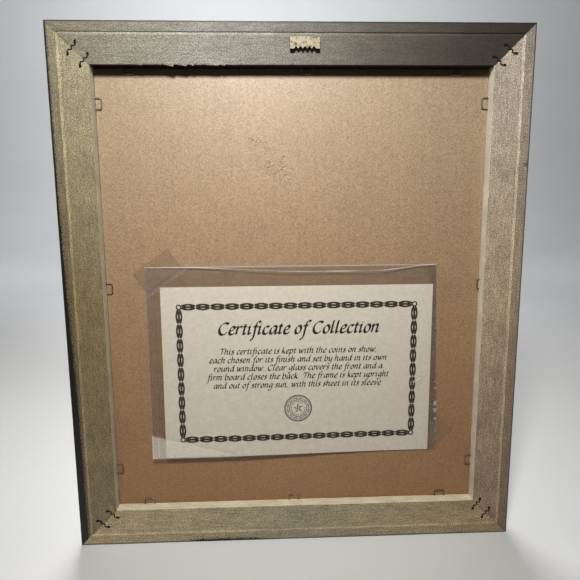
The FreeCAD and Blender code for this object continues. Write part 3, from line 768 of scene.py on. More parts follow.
def make_rail(node, start, along, inward, length, tint, wall_tint, band, marks, seed, step=2.6):
    """One mitred rail: its section is carried from mitre to mitre in steps of that length.

    A point's place along the rail runs from its own inset at one mitre to the other, so all the
    lines of the moulding meet at the mitres. The back face waves a little with noise, and chips
    are bitten from its edges where a finer noise is high. marks(where, inset) gives extra black
    paint, and band is the shade of the strip outside the groove.
    """
    profile = rail_profile()
    inset, depth = profile[:, 0], profile[:, 1]
    level = depth - BACK
    near_joint = np.array([0.0, 0.4, 0.9, 1.6]) / length
    between = np.linspace(2.4 / length, 1 - 2.4 / length, int(length / step))
    share = np.concatenate([near_joint, between, 1 - near_joint[::-1]])[:, None]
    where = -length / 2 + inset + JOINT + share * (length - 2 * inset - 2 * JOINT)
    inside = inset < WALL + 0.2
    on_back = smooth(0.7, 0.1, level) * inside
    chip = np.clip(wobble(where, inset, 9.0, seed + 1) - 1.1, 0, 1)
    outer_edge = smooth(1.2, 0.0, inset) * on_back
    inner_edge = smooth(WALL - 1.6, WALL, inset) * smooth(2.0, 0.0, level)
    inset_now = inset + outer_edge * chip * 0.5 - inner_edge * chip * 0.35
    if node == "rail_top":
        inset_now = inset_now + inner_edge * tear(-where, -78.0, 38.0, 1.5)
    points = np.array(start) + where[..., None] * along + inset_now[..., None] * inward
    points[..., 1] = depth + on_back * 0.05 * wobble(where, inset * 4, 60.0, seed)
    painted = np.maximum(smooth(0.5, 0.15, inset) * smooth(0.1, 0.6, level), depth > LIP + 0.4)
    lip_back = (depth > LIP - 0.2) & ~inside
    # Pale marks the rabbet wall; on the top rail it takes a near black tint as painted shade.
    pale = (inset > WALL - 0.25) & (level > 0.25) & ~lip_back
    near_end = smooth(0.6, 0.0, np.minimum(share, 1 - share) * length)
    fringe = np.maximum(0.9 * hill(inset, 0.8), 0.55 * near_end)
    near_edge = smooth(1.2, 0.0, level) * inside
    paint = np.maximum(painted * 1.2, np.maximum(fringe, marks(where, inset)) * near_edge)
    steps_round = np.linalg.norm(np.diff(profile, axis=0), axis=1)
    way_round = np.broadcast_to(np.concatenate([[0], np.cumsum(steps_round)]), where.shape)
    from_groove = inset - GROOVE_INSET
    # Tone across the section: the outer band's shade, then the groove's painted shade line and painted
    # highlight.
    shade = np.where(from_groove < -0.5, band, 1.0)
    shade = np.where(np.abs(from_groove + 0.45) < 0.3, GROOVE_PAINTED_SHADE, shade)
    shade = np.where(np.abs(from_groove - 0.4) < 0.5, GROOVE_PAINTED_HIGHLIGHT, shade)[:, None]
    opaque = np.ones(where.shape + (1,))
    shell = Shell()
    rope(
        shell,
        points,
        uv=np.stack([where + seed * 37.0, way_round], -1),
        tint=np.concatenate([tint(where) * shade, opaque], -1),
        wall_tint=np.concatenate([opaque * wall_tint, opaque], -1),
        paint=paint,
        pale=np.broadcast_to(pale, where.shape),
    )
    shell.build(node + "_moulding", MATERIALS["wood"], stands_for=(node,), slot="rail_wood")


def no_marks(where, inset):
    """A rail without extra paint marks."""
    return 0 * (where + inset)


def left_marks(where, inset):
    """Left rail, from top to foot: paint spreads in from the outer edge, then a brushed loop."""
    down = (where + TALL / 2) / TALL
    edge = 0.95 * hill(inset, 1.5 + 3.0 * smooth(0.25, 0.9, down))
    band = (0.14 + 0.36 * down) * smooth(8.0, 5.0, inset)
    from_foot = TALL / 2 - where
    line = 5.0 - 3.5 * smooth(4.0, 0.0, from_foot)
    loop = 0.95 * hill(inset - line, 0.55) * smooth(31.0, 29.0, from_foot)
    return np.maximum(edge + band, loop)


def right_marks(where, inset):
    """Right rail: two dark smudges in the outer band."""
    smudges = hill(where - 102.0, 3.0) + 0.8 * hill(where - 66.0, 2.0)
    return 0.45 * smudges * smooth(8.5, 3.0, inset)


def bottom_marks(where, inset):
    """Bottom rail: a dark patch along its foot."""
    patch = smooth(-95.0, -80.0, where) * smooth(-22.0, -36.0, where)
    return 0.42 * patch * smooth(7.0, 1.5, inset) + 0.6 * hill(inset, 1.5)


def make_rails():
    """All four rails, each with its own shade of raw wood."""
    bottom = along_tint(
        [-170, 0, 170],
        [(0.47, 0.38, 0.225), (0.33, 0.29, 0.19), (0.41, 0.315, 0.175)],
    )
    # Top rail: near black at its right end, lighter to the left: partly dark spray, partly painted sheen.
    top = along_tint(
        [-170, -125, -60, 60, 170],
        [
            (0.022, 0.017, 0.012), (0.028, 0.021, 0.016), (0.062, 0.051, 0.039),
            (0.178, 0.172, 0.150), (0.175, 0.156, 0.104),
        ],
    )
    left = along_tint(
        [-200, 0, 200],
        [(0.285, 0.255, 0.16), (0.198, 0.154, 0.073), (0.215, 0.17, 0.10)],
    )
    right = along_tint(
        [-200, 0, 200],
        [(0.28, 0.20, 0.135), (0.415, 0.325, 0.218), (0.405, 0.355, 0.292)],
    )
    up, down, east = np.array([0, 0, 1]), np.array([0, 0, -1]), np.array([1, 0, 0])
    fresh, bright = (0.70, 0.63, 0.46), (0.76, 0.71, 0.58)
    # dark: near black tint for the top rail's downward-facing rabbet wall, painted shade.
    dim, dark = (0.60, 0.58, 0.44), (0.006, 0.003, 0.002)
    side = WIDE / 2
    make_rail("rail_bottom", (0, 0, 0), east, up, WIDE, bottom, fresh, 0.9, bottom_marks, 3)
    make_rail("rail_top", (0, 0, TALL), -east, down, WIDE, top, dark, 0.97, no_marks, 11, step=0.9)
    make_rail("rail_left", (-side, 0, MIDDLE), down, east, TALL, left, dim, 0.72, left_marks, 23)
    make_rail("rail_right", (side, 0, MIDDLE), up, -east, TALL, right, bright, 0.74, right_marks, 31)


# ---------------------------------------------------------------- board, staples, nails, hanger


FLUTE_PITCH = 6.4
SCUFF = (-0.056, 0.752)


def make_board():
    """Backing board: both faces rise and fall with a cosine over the flutes inside.

    The seen face also bows with a broad noise. Scuff is a leaning oval with a streak above it,
    Stain is a small spot below it, and a band along its head is painted shade from the top rail.
    """
    low, high = box_mm("backing_board")
    x = np.linspace(low[0] + 0.1, high[0] - 0.1, 301)
    z = low[2] + 0.1 + (high[2] - low[2] - 0.2) * uneven([(0.97, 90), (1.0, 14)])
    grid_x, grid_z = np.meshgrid(x, z)
    wave = 0.5 + 0.5 * np.cos(grid_x * 2 * math.pi / FLUTE_PITCH)
    bow = 0.5 + 0.25 * wobble(grid_x, grid_z, 260.0, 5)
    near = places(grid_x, low[1] + 0.12 - 0.02 * wave - 0.08 * bow, grid_z)
    far = places(grid_x, high[1] - 0.06 + 0.04 * wave, grid_z)
    scuff_x, scuff_z = grid_x - WIDE * SCUFF[0], grid_z - TALL * SCUFF[1]
    lean = scuff_z + 0.45 * scuff_x
    oval = hill(scuff_x, 14.0) * hill(lean, 7.0)
    streak = hill(scuff_x + 6.0, 11.0) * hill(lean - 13.0, 3.2)
    scuff = np.clip(np.maximum(oval, streak) * 1.5, 0, 1)
    stain = 0.5 * hill(scuff_x - 4.0, 1.4) * hill(scuff_z + 20.0, 1.8)
    # Painted shade: darkest within 4.5 mm of the board's head, fading out by 8 mm, where the top rail
    # shades it.
    grime = 0.85 * smooth(8.0, 4.5, high[2] - grid_z)
    shell = Shell()
    sheet_between(shell, near, far, flute=wave, scuff=scuff, stain=stain, grime=grime)
    node = "backing_board"
    shell.build(node + "_sheet", MATERIALS["kraft"], stands_for=(node,), slot="corrugated_board")


TORN_STREAK = 18
TORN_FIBRES = 60


def make_torn_fibres():
    """Torn fibres of the scuff: short tapered ribbons bent to an arc, one side lifted off the board.

    Half the width is the root of 1 less the square of the share along. The first few lie along a
    slanting streak, the others are scattered round the scuff's middle.
    """
    middle = np.array([WIDE * SCUFF[0], TALL * SCUFF[1]])
    pick = np.random.default_rng(31)
    t = np.linspace(-1, 1, 9)
    shell = Shell()
    for number in range(TORN_FIBRES):
        if number < TORN_STREAK:
            share = pick.uniform(-1, 1)
            spot = middle + (-3.5 + 9.5 * share, 16.5 - 3.8 * share) + pick.normal(0, 0.8, 2)
            slope = math.radians(-22 + pick.uniform(-28, 28))
        else:
            spot = middle + (1.0, -2.0) + pick.normal(0, 1, 2) * (7.5, 5.5)
            slope = math.radians(pick.uniform(-65, 65))
        length = pick.uniform(1.4, 3.8)
        wide = pick.uniform(0.3, 0.55)
        rise = pick.uniform(0.18, 0.42)
        bow = pick.uniform(-0.4, 0.4) * length * (t * t - 0.33)
        ahead = np.array([math.cos(slope), math.sin(slope)])
        side = np.array([-ahead[1], ahead[0]]) * pick.choice([-1, 1])
        line = spot + (t * length / 2)[:, None] * ahead + bow[:, None] * side
        half = (wide / 2 * np.sqrt(1.02 - t * t))[:, None] * side
        root, tip = line - half, line + half
        ring = [
            places(edge[:, 0], BOARD_BACK + level, edge[:, 1])
            for edge, level in ((root, 0.2), (root, -0.02), (tip, -rise), (tip, 0.07 - rise))
        ]
        rope(shell, np.stack(ring, 1))
    shell.build("backing_board_torn_fibres", MATERIALS["torn"], slot="corrugated_board")


STAPLE_WIDE = 9.0
STAPLE_WIRE = 1.0
STAPLE_REACH = 5.2
PRESSED_REACH = 2.2
STAPLE_INSET = 25.5
MIDDLE_STAPLE_RISE = 9.0
FOOT_STAPLE_RISE = 32.0


def staple_path(reach):
    """Legs out of the wall, round bends and crown, in (along the wall, out of the wall)."""
    half = STAPLE_WIDE / 2 - STAPLE_WIRE / 2
    top = reach - STAPLE_WIRE / 2
    bend = 0.9
    turn = np.linspace(0, math.pi / 2, 7)
    left = np.stack([-half + bend - bend * np.cos(turn), top - bend + bend * np.sin(turn)], 1)
    right = np.stack([half - bend + bend * np.sin(turn), top - bend + bend * np.cos(turn)], 1)
    crown = np.linspace(left[-1], right[0], 8)[1:-1]
    return np.concatenate([[(-half, -2.0)], left, crown, right, [(half, -2.0)]])


def staple_spots():
    """Wall point, direction along the wall, direction out of it, and reach of each staple."""
    near = box_mm("retaining_staples")[0][1] + STAPLE_WIRE / 2
    wall_x = WIDE / 2 - WALL
    low, high = WALL, TALL - WALL
    side_x = wall_x - STAPLE_INSET
    up, east = np.array([0, 0, 1]), np.array([1, 0, 0])
    heights = (high - STAPLE_INSET, MIDDLE + MIDDLE_STAPLE_RISE, low + FOOT_STAPLE_RISE)
    right_reaches = (STAPLE_REACH, PRESSED_REACH, STAPLE_REACH)
    spots = []
    for z, right_reach in zip(heights, right_reaches):
        spots.append(((-wall_x, near, z), up, east, STAPLE_REACH))
        spots.append(((wall_x, near, z), up, -east, right_reach))
    for z, out, middle_x in ((low, up, -2.0), (high, -up, 9.5)):
        for x in (-side_x, side_x, middle_x):
            spots.append(((x, near, z), east, out, STAPLE_REACH))
    return spots


def make_staples():
    """Twelve round-wire staples, each a touch out of square as driven by hand."""
    shell = Shell()
    pick = np.random.default_rng(8)
    for spot, along, out, reach in staple_spots():
        path = staple_path(reach)
        lean = pick.uniform(-0.06, 0.06)
        shift = path[:, :1] + lean * path[:, 1:]
        points = np.array(spot) + shift * along + path[:, 1:] * out
        tube(shell, points, STAPLE_WIRE * 0.49, STAPLE_WIRE * 0.42, 12)
    node = "retaining_staples"
    shell.build(node + "_wire", MATERIALS["staple"], stands_for=(node,), slot="staple_steel")


NAIL_INSETS = (18.6, 26.8)
NAIL_HALF = 5.4
NAIL_WAVE = 0.62
NAIL_PITCH = 3.7


def nail_spots():
    """Centre and slope, in degrees, of the two corrugated nails of each corner."""
    spots = []
    for inset in NAIL_INSETS:
        x, top = WIDE / 2 - inset, TALL - inset
        spots += [(-x, top, 45), (x, top, -45), (-x, inset, -45), (x, inset, 45)]
    return spots


def make_nails():
    """Corrugated nails: a strip that follows a sine wave, with rolled ends, driven flush."""
    shell = Shell()
    run = np.linspace(-NAIL_HALF, NAIL_HALF, 61)
    wave = NAIL_WAVE * np.sin(run * 2 * math.pi / NAIL_PITCH)
    rolled = smooth(4.1, 4.8, np.abs(run)) * smooth(5.9, 5.2, np.abs(run))
    # Wide and near black: the strip also stands in for the shaded slot around the nail.
    thick = (0.52 + 1.2 * rolled)[:, None]
    section = ((-0.8, -0.1), (0.8, -0.1), (1.0, 0.0), (1.0, 3.0), (-1.0, 3.0), (-1.0, 0.0))
    for x, z, slope in nail_spots():
        cos, sin = math.cos(math.radians(slope)), math.sin(math.radians(slope))
        path = places(x + run * cos - wave * sin, 0.0, z + run * sin + wave * cos)
        ahead = np.gradient(path, axis=0)
        ahead /= np.linalg.norm(ahead, axis=1, keepdims=True)
        side = places(-ahead[:, 2], ahead[:, 1], ahead[:, 0]) * thick
        ring = [path + side * push + np.array([0, BACK + level, 0]) for push, level in section]
        rope(shell, np.stack(ring, 1))
    node = "corner_nails"
    shell.build(node + "_strip", MATERIALS["nail"], stands_for=(node,), slot="dark_steel")


# ---------------------------------------------------------------- sleeve, certificate and tape


PAPER_MIDDLE = (PAPER_LOW[0] + PAPER_HIGH[0]) / 2
SLEEVE_SLANT = 5.6
LIFT = 4.6
FILM_THICK = 0.13
TAPE_WIDE = 18.5


def lift(x, z):
    """How far sleeve and paper stand off the board: nothing at the taped corners, most lower left."""
    side = smooth(100.0, -70.0, x)
    down = np.clip((SLEEVE_HIGH[2] - z) / (SLEEVE_HIGH[2] - SLEEVE_LOW[2]), 0, 1) ** 1.7
    return LIFT * side * down


def paper_level(x, z):
    """Depth of the certificate's printed face."""
    return PAPER_LOW[1] - lift(x, z)


def make_certificate():
    """The sheet itself: a flat grid that stands off the board by the sleeve's lift."""
    inset = 0.02
    x = np.linspace(PAPER_LOW[0] + inset, PAPER_HIGH[0] - inset, 73)
    z = np.linspace(PAPER_LOW[2] + inset, PAPER_HIGH[2] - inset, 49)
    grid_x, grid_z = np.meshgrid(x, z)
    near = places(grid_x, paper_level(grid_x, grid_z), grid_z)
    far = near + np.array([0, PAPER_HIGH[1] - PAPER_LOW[1], 0])
    shell = Shell()
    sheet_between(shell, near, far)
    node = "certificate"
    shell.build(node + "_sheet", MATERIALS["paper"], node, (node,), "certificate_paper")


def sleeve_right(z):
    """The sleeve's slanting right edge at a height."""
    share = (np.asarray(z) - SLEEVE_LOW[2]) / (SLEEVE_HIGH[2] - SLEEVE_LOW[2])
    return SLEEVE_HIGH[0] - SLEEVE_SLANT * share


def make_film(node, x, z, level, **looks):
    """One film of the sleeve: a thin sheet whose far face lies at that depth."""
    shell = Shell()
    sheet_between(shell, places(x, level - FILM_THICK, z), places(x, level, z), **looks)
    shell.build(node + "_sheet", MATERIALS["film"], stands_for=(node,), slot="clear_film")


def film_haze(x, z):
    """Whiter places on the front film, 0 to 1.

    They are a painted reflection on the lower left corner below a slanting crease, paler film over
    the two corners that lie over tape, a painted highlight along the upper tape's edge, and a short
    slanting painted highlight near the right edge.
    """
    crease = z - (88.5 - 0.26 * (x + 106.0))
    lower_left = 0.48 * smooth(1.6, -1.6, crease) * smooth(-30.0, -62.0, x)
    from_head = (x - SLEEVE_LOW[0]) * 0.58 - (z - SLEEVE_HIGH[2]) * 0.81
    over_upper = 0.08 * smooth(20.4, 19.8, from_head)
    upper_edge = 0.16 * hill(from_head - 20.0, 1.2)
    upper = np.maximum(over_upper, upper_edge) * (x < -60)
    from_foot = (SLEEVE_HIGH[0] - x) * 0.64 + (z - SLEEVE_LOW[2]) * 0.77
    lower = 0.1 * smooth(24.0, 23.2, from_foot) * (x > PAPER_HIGH[0] + 0.5)
    streak = hill(z - 134.0 - (x - 100.0) * 0.82, 1.0)
    streak = 0.5 * streak * smooth(94.0, 97.0, x) * smooth(110.0, 106.0, x)
    return np.maximum.reduce([lower_left, upper, lower, streak])


def make_sleeve():
    """Back and front films, welded at the sides and foot, with a sagging, bulging lip at the mouth.

    s runs across and t up. The front film stands off the back one by a gap that closes at the
    sides and foot. At the mouth it sags by a hump of x and bulges by the same hump. The welded
    right side is a sine ripple, and two fine ridges run down the left side.
    """
    across = uneven([(0.035, 16), (0.95, 64), (1.0, 20)])
    up = uneven([(0.02, 8), (0.93, 70), (1.0, 20)])
    s, t = np.meshgrid(across, up)
    left = SLEEVE_LOW[0]
    z = SLEEVE_LOW[2] + t * (SLEEVE_HIGH[2] - SLEEVE_LOW[2])
    ragged = smooth(0.97, 1.0, s) * 0.35 * wobble(z, 0, 3.0, 17)
    x = left + s * (sleeve_right(z) - left) - np.abs(ragged)
    base = SLEEVE_HIGH[1] - lift(x, z)
    # Painted highlight on the back film: whiter along its mouth and its left edge.
    mouth_light = 0.55 * smooth(0.985, 1.0, t) + 0.30 * smooth(0.006, 0.0, s)
    # Back film veil: dense enough to paint the shade of the gap under the sleeve, and denser past the
    # paper's right edge.
    veil = 0.13 + 0.12 * smooth(PAPER_HIGH[0] - 6.0, PAPER_HIGH[0], x)
    glow = np.clip(mouth_light, 0, 1)
    make_film("sleeve_back_film", x, z, base - 0.01, edge=glow, haze=0 * s, veil=veil)

    hump = smooth(-95.0, 15.0, x) * smooth(112.0, 60.0, x)
    sag = 4.2 * hump * smooth(0.9, 1.0, t)
    loose = smooth(0.0, 0.2, s) * smooth(1.0, 0.9, s)
    bulge = 1.5 * hump * smooth(0.78, 1.0, t) + 0.25 * wobble(x, z, 90.0, 41) * loose
    bulge = np.maximum(bulge * smooth(0.0, 0.06, t), 0)
    foot = smooth(0.012, 0.0, t)
    closed = np.maximum.reduce([smooth(0.03, 0.0, s), smooth(0.985, 1.0, s), foot])
    gap = (SLEEVE_HIGH[1] - SLEEVE_LOW[1] - 0.15) * (1 - closed)
    ridges = hill(x - left - 5.4, 0.35) + 0.6 * hill(x - left - 0.5, 0.4)
    weld = smooth(0.982, 0.995, s)
    ripple = 0.22 * weld * np.sin(z * 2 * math.pi / 2.6 + 0.8 * wobble(z, x, 12.0, 9))
    level = base - 0.17 - gap - bulge - 0.12 * ridges - np.abs(ripple)
    # Painted highlights on the front film: along the lip, glints down the right weld and at the fold of
    # the foot; the two left seam lines whiten too.
    lip_light = (0.75 + 0.25 * wobble(x, 0, 45.0, 3)) * smooth(0.992, 1.0, t)
    glint = weld * smooth(0.35, 0.9, np.abs(wobble(z, 0, 4.5, 29)))
    glint = glint * smooth(140.0, 122.0, z) * smooth(84.0, 92.0, z)
    foot_light = 0.3 * foot * smooth(-100.0, -108.0, x)
    edge = np.clip(lip_light + 0.28 * ridges + 0.7 * glint + foot_light, 0, 1)
    looks = {"edge": edge, "haze": film_haze(x, z), "veil": 0 * s + 0.02}
    make_film("sleeve_front_film", x, z - sag, level, **looks)


def make_tape(node, length, slope):
    """A strip of tape between board and sleeve: softly rounded corners, pinked ends, faint ripple.

    s runs along it and t across. It is darker along its rim, and paler where the sleeve covers it.
    """
    middle = centre_mm(node)
    low, high = box_mm(node)
    s, t = np.meshgrid(np.linspace(-1, 1, 41), np.linspace(-1, 1, 25))
    at_end = np.sign(s) * (np.abs(s) > 0.99)
    shrink = 1 - 0.012 * (s * t) ** 6
    pinked = 0.18 * np.sign(np.sin(t * 40.0)) * at_end
    a = (s * length / 2 + pinked) * shrink - 0.15 * at_end
    b = t * TAPE_WIDE / 2 * shrink
    cos, sin = math.cos(math.radians(slope)), math.sin(math.radians(slope))
    x = middle[0] + a * cos - b * sin
    z = middle[2] + a * sin + b * cos
    level = low[1] + 0.05 + 0.02 * wobble(x, z, 7.0, 13)
    within_sides = (x > SLEEVE_LOW[0]) & (x < sleeve_right(z))
    covered = within_sides & (z > SLEEVE_LOW[2]) & (z < SLEEVE_HIGH[2])
    rim = np.maximum(smooth(0.955, 1.0, np.abs(s)), smooth(0.93, 1.0, np.abs(t)))
    wet = np.where(covered, 1.04 - 0.55 * rim, 0.80 - 0.08 * rim)
    shell = Shell()
    sheet_between(shell, places(x, level, z), places(x, high[1], z), wet=wet)
    shell.build(node + "_strip", MATERIALS["tape"], stands_for=(node,), slot="clear_tape")


# ---------------------------------------------------------------- print on the certificate


# A slanting broad-pen hand. Letter heights: small 5, tall 9, tails to -4. Each entry is the
# letter's width and its pen strokes; a stroke is a smooth curve through its points.
LETTERS = {
    "a": (5.7, "4.6,4.6 3,5 1.2,3.6 .7,1.6 1.5,.1 3,.9 4.4,3.6/4.8,5 4.5,1.2 4.9,.1 6,.9"),
    "b": (5.5, "1.1,9 .9,4 .8,.9 2,0 3.8,.5 4.7,2.6 4.2,4.6 2.8,4.9 1,3.2"),
    "c": (4.5, "4.1,4.3 3,5 1.4,4.2 .7,2.2 1.3,.3 2.8,0 4.3,.9"),
    "d": (5.9, "4.5,4.6 3,5 1.2,3.6 .7,1.6 1.5,.1 3,.9 4.4,3.6/5.1,9 4.7,4 4.5,1.2 4.9,.1 6,.9"),
    "e": (4.6, "1,2.2 3,2.9 4,3.9 3.4,4.9 2.2,4.9 1,3.4 .7,1.7 1.5,.1 3,.1 4.4,1.2"),
    "f": (3.6, "4.9,8.2 4,9 2.9,8.5 2.2,6.8 1.9,3 1.6,-1.5 .7,-3.6 -.4,-3.5/.5,4.8 3.6,5"),
    "g": (5.5, "4.4,4.6 3,5 1.2,3.6 .7,1.9 1.5,.5 3,1.1 4.4,3.6/4.8,5 4.5,1 4,-2 2.6,-3.8 1,-3.6 .3,-2.6"),
    "h": (5.7, "1.1,9 .9,4.5 .7,0/.8,2.6 2.2,4.6 3.6,5 4.2,4 3.9,1.4 4.3,.1 5.5,.9"),
    "i": (2.9, "0,4.2 1,5 1.2,4.4 .9,1.2 1.3,.1 2.4,.9/1.4,6.9 1.9,7.4"),
    "k": (5.2, "1.1,9 .9,4.5 .7,0/4.3,4.9 2.6,3.6 1,2.6/1.7,3 3.4,.8 4.5,0 5.2,.6"),
    "l": (3.0, "1.3,9 1,4.5 .9,1.2 1.3,.1 2.4,.9"),
    "m": (
        8.5,
        "0,4.2 .9,5 1,4.2 .7,0/.8,2.6 2,4.6 3.2,5 3.8,4.2 3.5,0"
        "/3.6,2.6 5,4.6 6.2,5 6.8,4 6.5,1.4 6.9,.1 8.1,.9",
    ),
    "n": (5.7, "0,4.2 .9,5 1,4.2 .7,0/.8,2.6 2.2,4.6 3.6,5 4.2,4 3.9,1.4 4.3,.1 5.5,.9"),
    "o": (5.1, "2.6,5 1.2,4 .7,2 1.4,.2 2.8,.1 4.1,1.4 4.4,3.2 3.6,4.8 2.4,5"),
    "p": (5.5, "0,4.2 1,5 1,4 .6,0 .2,-4/.9,3 2.4,4.8 3.8,4.9 4.6,3.2 4.2,1 2.8,0 1,.6"),
    "r": (4.2, "0,4.2 .9,5 1,4.2 .7,0/.8,2.6 2,4.4 3.2,5 4,4.5"),
    "s": (4.0, "3.7,4.4 2.6,5 1.4,4.6 1.2,3.6 2.4,2.6 3.2,1.5 2.7,.3 1.4,0 .4,.7"),
    "t": (3.4, "1.7,7 1.3,3 1.2,1 1.7,.1 3,.9/.2,4.8 3,5"),
    "u": (5.7, "0,4.2 .9,5 1,4.2 .9,1.2 1.6,.1 3,.9 4.4,3.6/4.7,5 4.4,1.2 4.8,.1 5.8,.9"),
    "v": (5.0, "0,4.3 1,5 1.5,3 2.2,0 3.8,2.4 4.6,4.4 4,5"),
    "w": (7.6, "0,4.3 1,5 1.3,3 1.8,0 3.2,2.2 4.2,5/4.2,5 4.3,3 4.8,0 6.4,2.4 7.2,4.4 6.6,5"),
    "y": (5.3, "0,4.2 .9,5 1,4.2 .9,1.4 1.8,.2 3.2,1 4.4,3.6/4.7,5 4.4,1 3.6,-2.4 2,-4 .4,-3.4"),
    "C": (7.2, "6.8,6.9 5.4,8.1 3.3,7.6 1.5,5.4 1,2.8 2.2,.5 4.4,0 6.6,1.5"),
    "T": (6.8, ".5,6.6 1.6,7.9 4.2,7.7 7.3,8.3/4.5,7.7 4,4 3.5,.6 2.1,0"),
    ",": (2.4, ".9,.5 1.1,-.2 .4,-1.4"),
    ".": (2.4, ".7,.1 1.2,.6"),
    " ": (2.6, ""),
}
SLANT = 0.2
PEN_SLOPE = math.radians(38)
PEN = 2.1
INK_LEVEL = 0.035
TITLE_RISE = 101.4
FIRST_LINE_RISE = 85.3
LINE_PITCH = 7.0
TITLE = "Certificate of Collection"
LINES = (
    "This certificate is kept with the coins on show,",
    "each chosen for its finish and set by hand in its own",
    "round window. Clear glass covers the front and a",
    "firm board closes the back. The frame is kept upright",
    "and out of strong sun, with this sheet in its sleeve.",
)


def smooth_curve(points, density):
    """A smooth curve through the points: Catmull-Rom pieces, evenly sampled."""
    points = np.asarray(points, float)
    if len(points) < 3:
        return np.linspace(points[0], points[-1], density + 1)
    padded = np.concatenate([[2 * points[0] - points[1]], points, [2 * points[-1] - points[-2]]])
    t = np.linspace(0, 1, density, endpoint=False)[:, None]
    parts = []
    for a, b, c, d in zip(padded, padded[1:], padded[2:], padded[3:]):
        curve = 2 * b + (c - a) * t + (2 * a - 5 * b + 4 * c - d) * t**2 + (3 * b - a - 3 * c + d) * t**3
        parts.append(curve / 2)
    return np.concatenate(parts + [points[-1:]])


def ink_strip(shell, centre, half, level=INK_LEVEL):
    """A closed strip of ink on the paper: centre line (x, z) widened to both sides by half."""
    left, right = centre + half, centre - half
    ring = []
    for edge, rise in ((left, 0.0), (left, level), (right, level), (right, 0.0)):
        ring.append(places(edge[:, 0], paper_level(edge[:, 0], edge[:, 1]) - rise, edge[:, 1]))
    rope(shell, np.stack(ring, 1))


def heading(turn):
    """Unit direction (x, z) at an angle, or at each of several."""
    return np.stack([np.cos(turn), np.sin(turn)], -1)


def pen_stroke(shell, points, size, place, pen, density):
    """One stroke of a broad pen: the nib is a short line at a fixed slope, carried along it."""
    curve = smooth_curve(points, density)
    tall = np.where(curve[:, 1] < 5, curve[:, 1] * 1.12, 5.6 + (curve[:, 1] - 5) * 0.85)
    curve = np.stack([curve[:, 0] + SLANT * tall, tall], 1) * size + place
    ahead = np.gradient(curve, axis=0)
    ahead /= np.maximum(np.linalg.norm(ahead, axis=1, keepdims=True), 1e-9)
    side = np.stack([-ahead[:, 1], ahead[:, 0]], 1)
    nib = np.array([math.cos(PEN_SLOPE), math.sin(PEN_SLOPE)]) * pen / 2
    cut = side @ nib
    half = side * (np.sign(cut + 1e-9) * np.maximum(np.abs(cut), pen * 0.17))[:, None]
    half = half + (nib - side * (side @ nib)[:, None]) * 0.55
    ink_strip(shell, curve, half)


def line_width(words, size, gap):
    """Length of a line of lettering."""
    return sum(LETTERS[letter][0] + gap for letter in words) * size


def write_line(shell, words, middle, foot, size, pen, density, gap):
    """Letter one centred line."""
    place = middle - line_width(words, size, gap) / 2
    for letter in words:
        wide, strokes = LETTERS[letter]
        for stroke in filter(None, strokes.split("/")):
            points = [tuple(map(float, pair.split(","))) for pair in stroke.split()]
            pen_stroke(shell, points, size, np.array([place, foot]), pen * size, density)
        place += (wide + gap) * size


def make_lettering():
    """Generic title and five centred lines in an italic pen hand."""
    middle = PAPER_MIDDLE + 0.4
    shell = Shell()
    title_foot = PAPER_LOW[2] + TITLE_RISE
    write_line(shell, TITLE, middle, title_foot, size=1.15, pen=PEN, density=6, gap=0.3)
    shell.build("certificate_title", MATERIALS["ink"], "certificate")
    shell = Shell()
    for number, words in enumerate(LINES):
        foot = PAPER_LOW[2] + FIRST_LINE_RISE - number * LINE_PITCH
        write_line(shell, words, middle, foot, size=0.56, pen=PEN, density=3, gap=0.55)
    shell.build("certificate_text", MATERIALS["ink"], "certificate")


LINK_PITCH = 11.25
CORNER_GAP = 1.7
BORDER_LOW = PAPER_LOW[[0, 2]] + (14.0, 15.1)
BORDER_HIGH = PAPER_HIGH[[0, 2]] - (14.4, 15.9)


def border_run(links, cores, start, end):
    """A run of links between two corners: each is two dark blades that open round a black core."""
    start, end = np.array(start, float), np.array(end, float)
    length = np.linalg.norm(end - start)
    along = (end - start) / length
    side = np.array([-along[1], along[0]])
    count = round((length - 2 * CORNER_GAP) / LINK_PITCH)
    pitch = (length - 2 * CORNER_GAP) / count
    share = np.linspace(0.02, 0.98, 17)
    arch = np.sin(share * math.pi)
    outside = 1.15 + 1.55 * arch**0.6
    window = 0.72 * np.clip(np.cos((share - 0.5) * math.pi * 2.6), 0, 1) ** 0.7
    inside = 0.12 + 0.55 * arch + window
    core = (0.08 + 0.72 * arch[1:-1] ** 1.5)[:, None] * side
    for link in range(count):
        middle = start + (CORNER_GAP + (link + share) * pitch)[:, None] * along
        for hand in (1, -1):
            offset = hand * (outside + inside) / 2
            blade = ((outside - inside) / 2)[:, None] * side
            ink_strip(links, middle + offset[:, None] * side, blade)
        ink_strip(cores, middle[1:-1], core, 0.05)


def ink_ring(shell, centre, radius, wide, sides):
    """A printed ring, closed by meeting itself."""
    out = heading(np.linspace(0, 2 * math.pi, sides + 1))
    ink_strip(shell, centre + out * radius, out * wide / 2)


def make_border():
    """Border of links with a small ring at each corner."""
    low, high = BORDER_LOW, BORDER_HIGH
    corners = [(low[0], low[1]), (high[0], low[1]), (high[0], high[1]), (low[0], high[1])]
    links, cores = Shell(), Shell()
    for here, after in zip(corners, corners[1:] + corners[:1]):
        border_run(links, cores, here, after)
        ink_ring(cores, here, 1.75, 1.0, 20)
    links.build("certificate_border_links", MATERIALS["border_ink"], "certificate")
    cores.build("certificate_border_cores", MATERIALS["ink"], "certificate")


def ink_shape(shell, corners):
    """A filled flat shape of ink with straight sides."""
    x, z = np.asarray(corners, float).T
    low = places(x, paper_level(x, z), z)
    high = low - np.array([0, INK_LEVEL, 0])
    count = len(x)
    faces = [list(range(count)), list(range(2 * count - 1, count - 1, -1))]
    faces += [[k, (k + 1) % count, (k + 1) % count + count, k + count] for k in range(count)]
    shell.add(np.concatenate([low, high]), faces)


SEAL_RISE = 39.2
SEAL_RINGS = ((10.9, 0.75, 64), (9.95, 0.35, 64), (7.1, 0.5, 56))


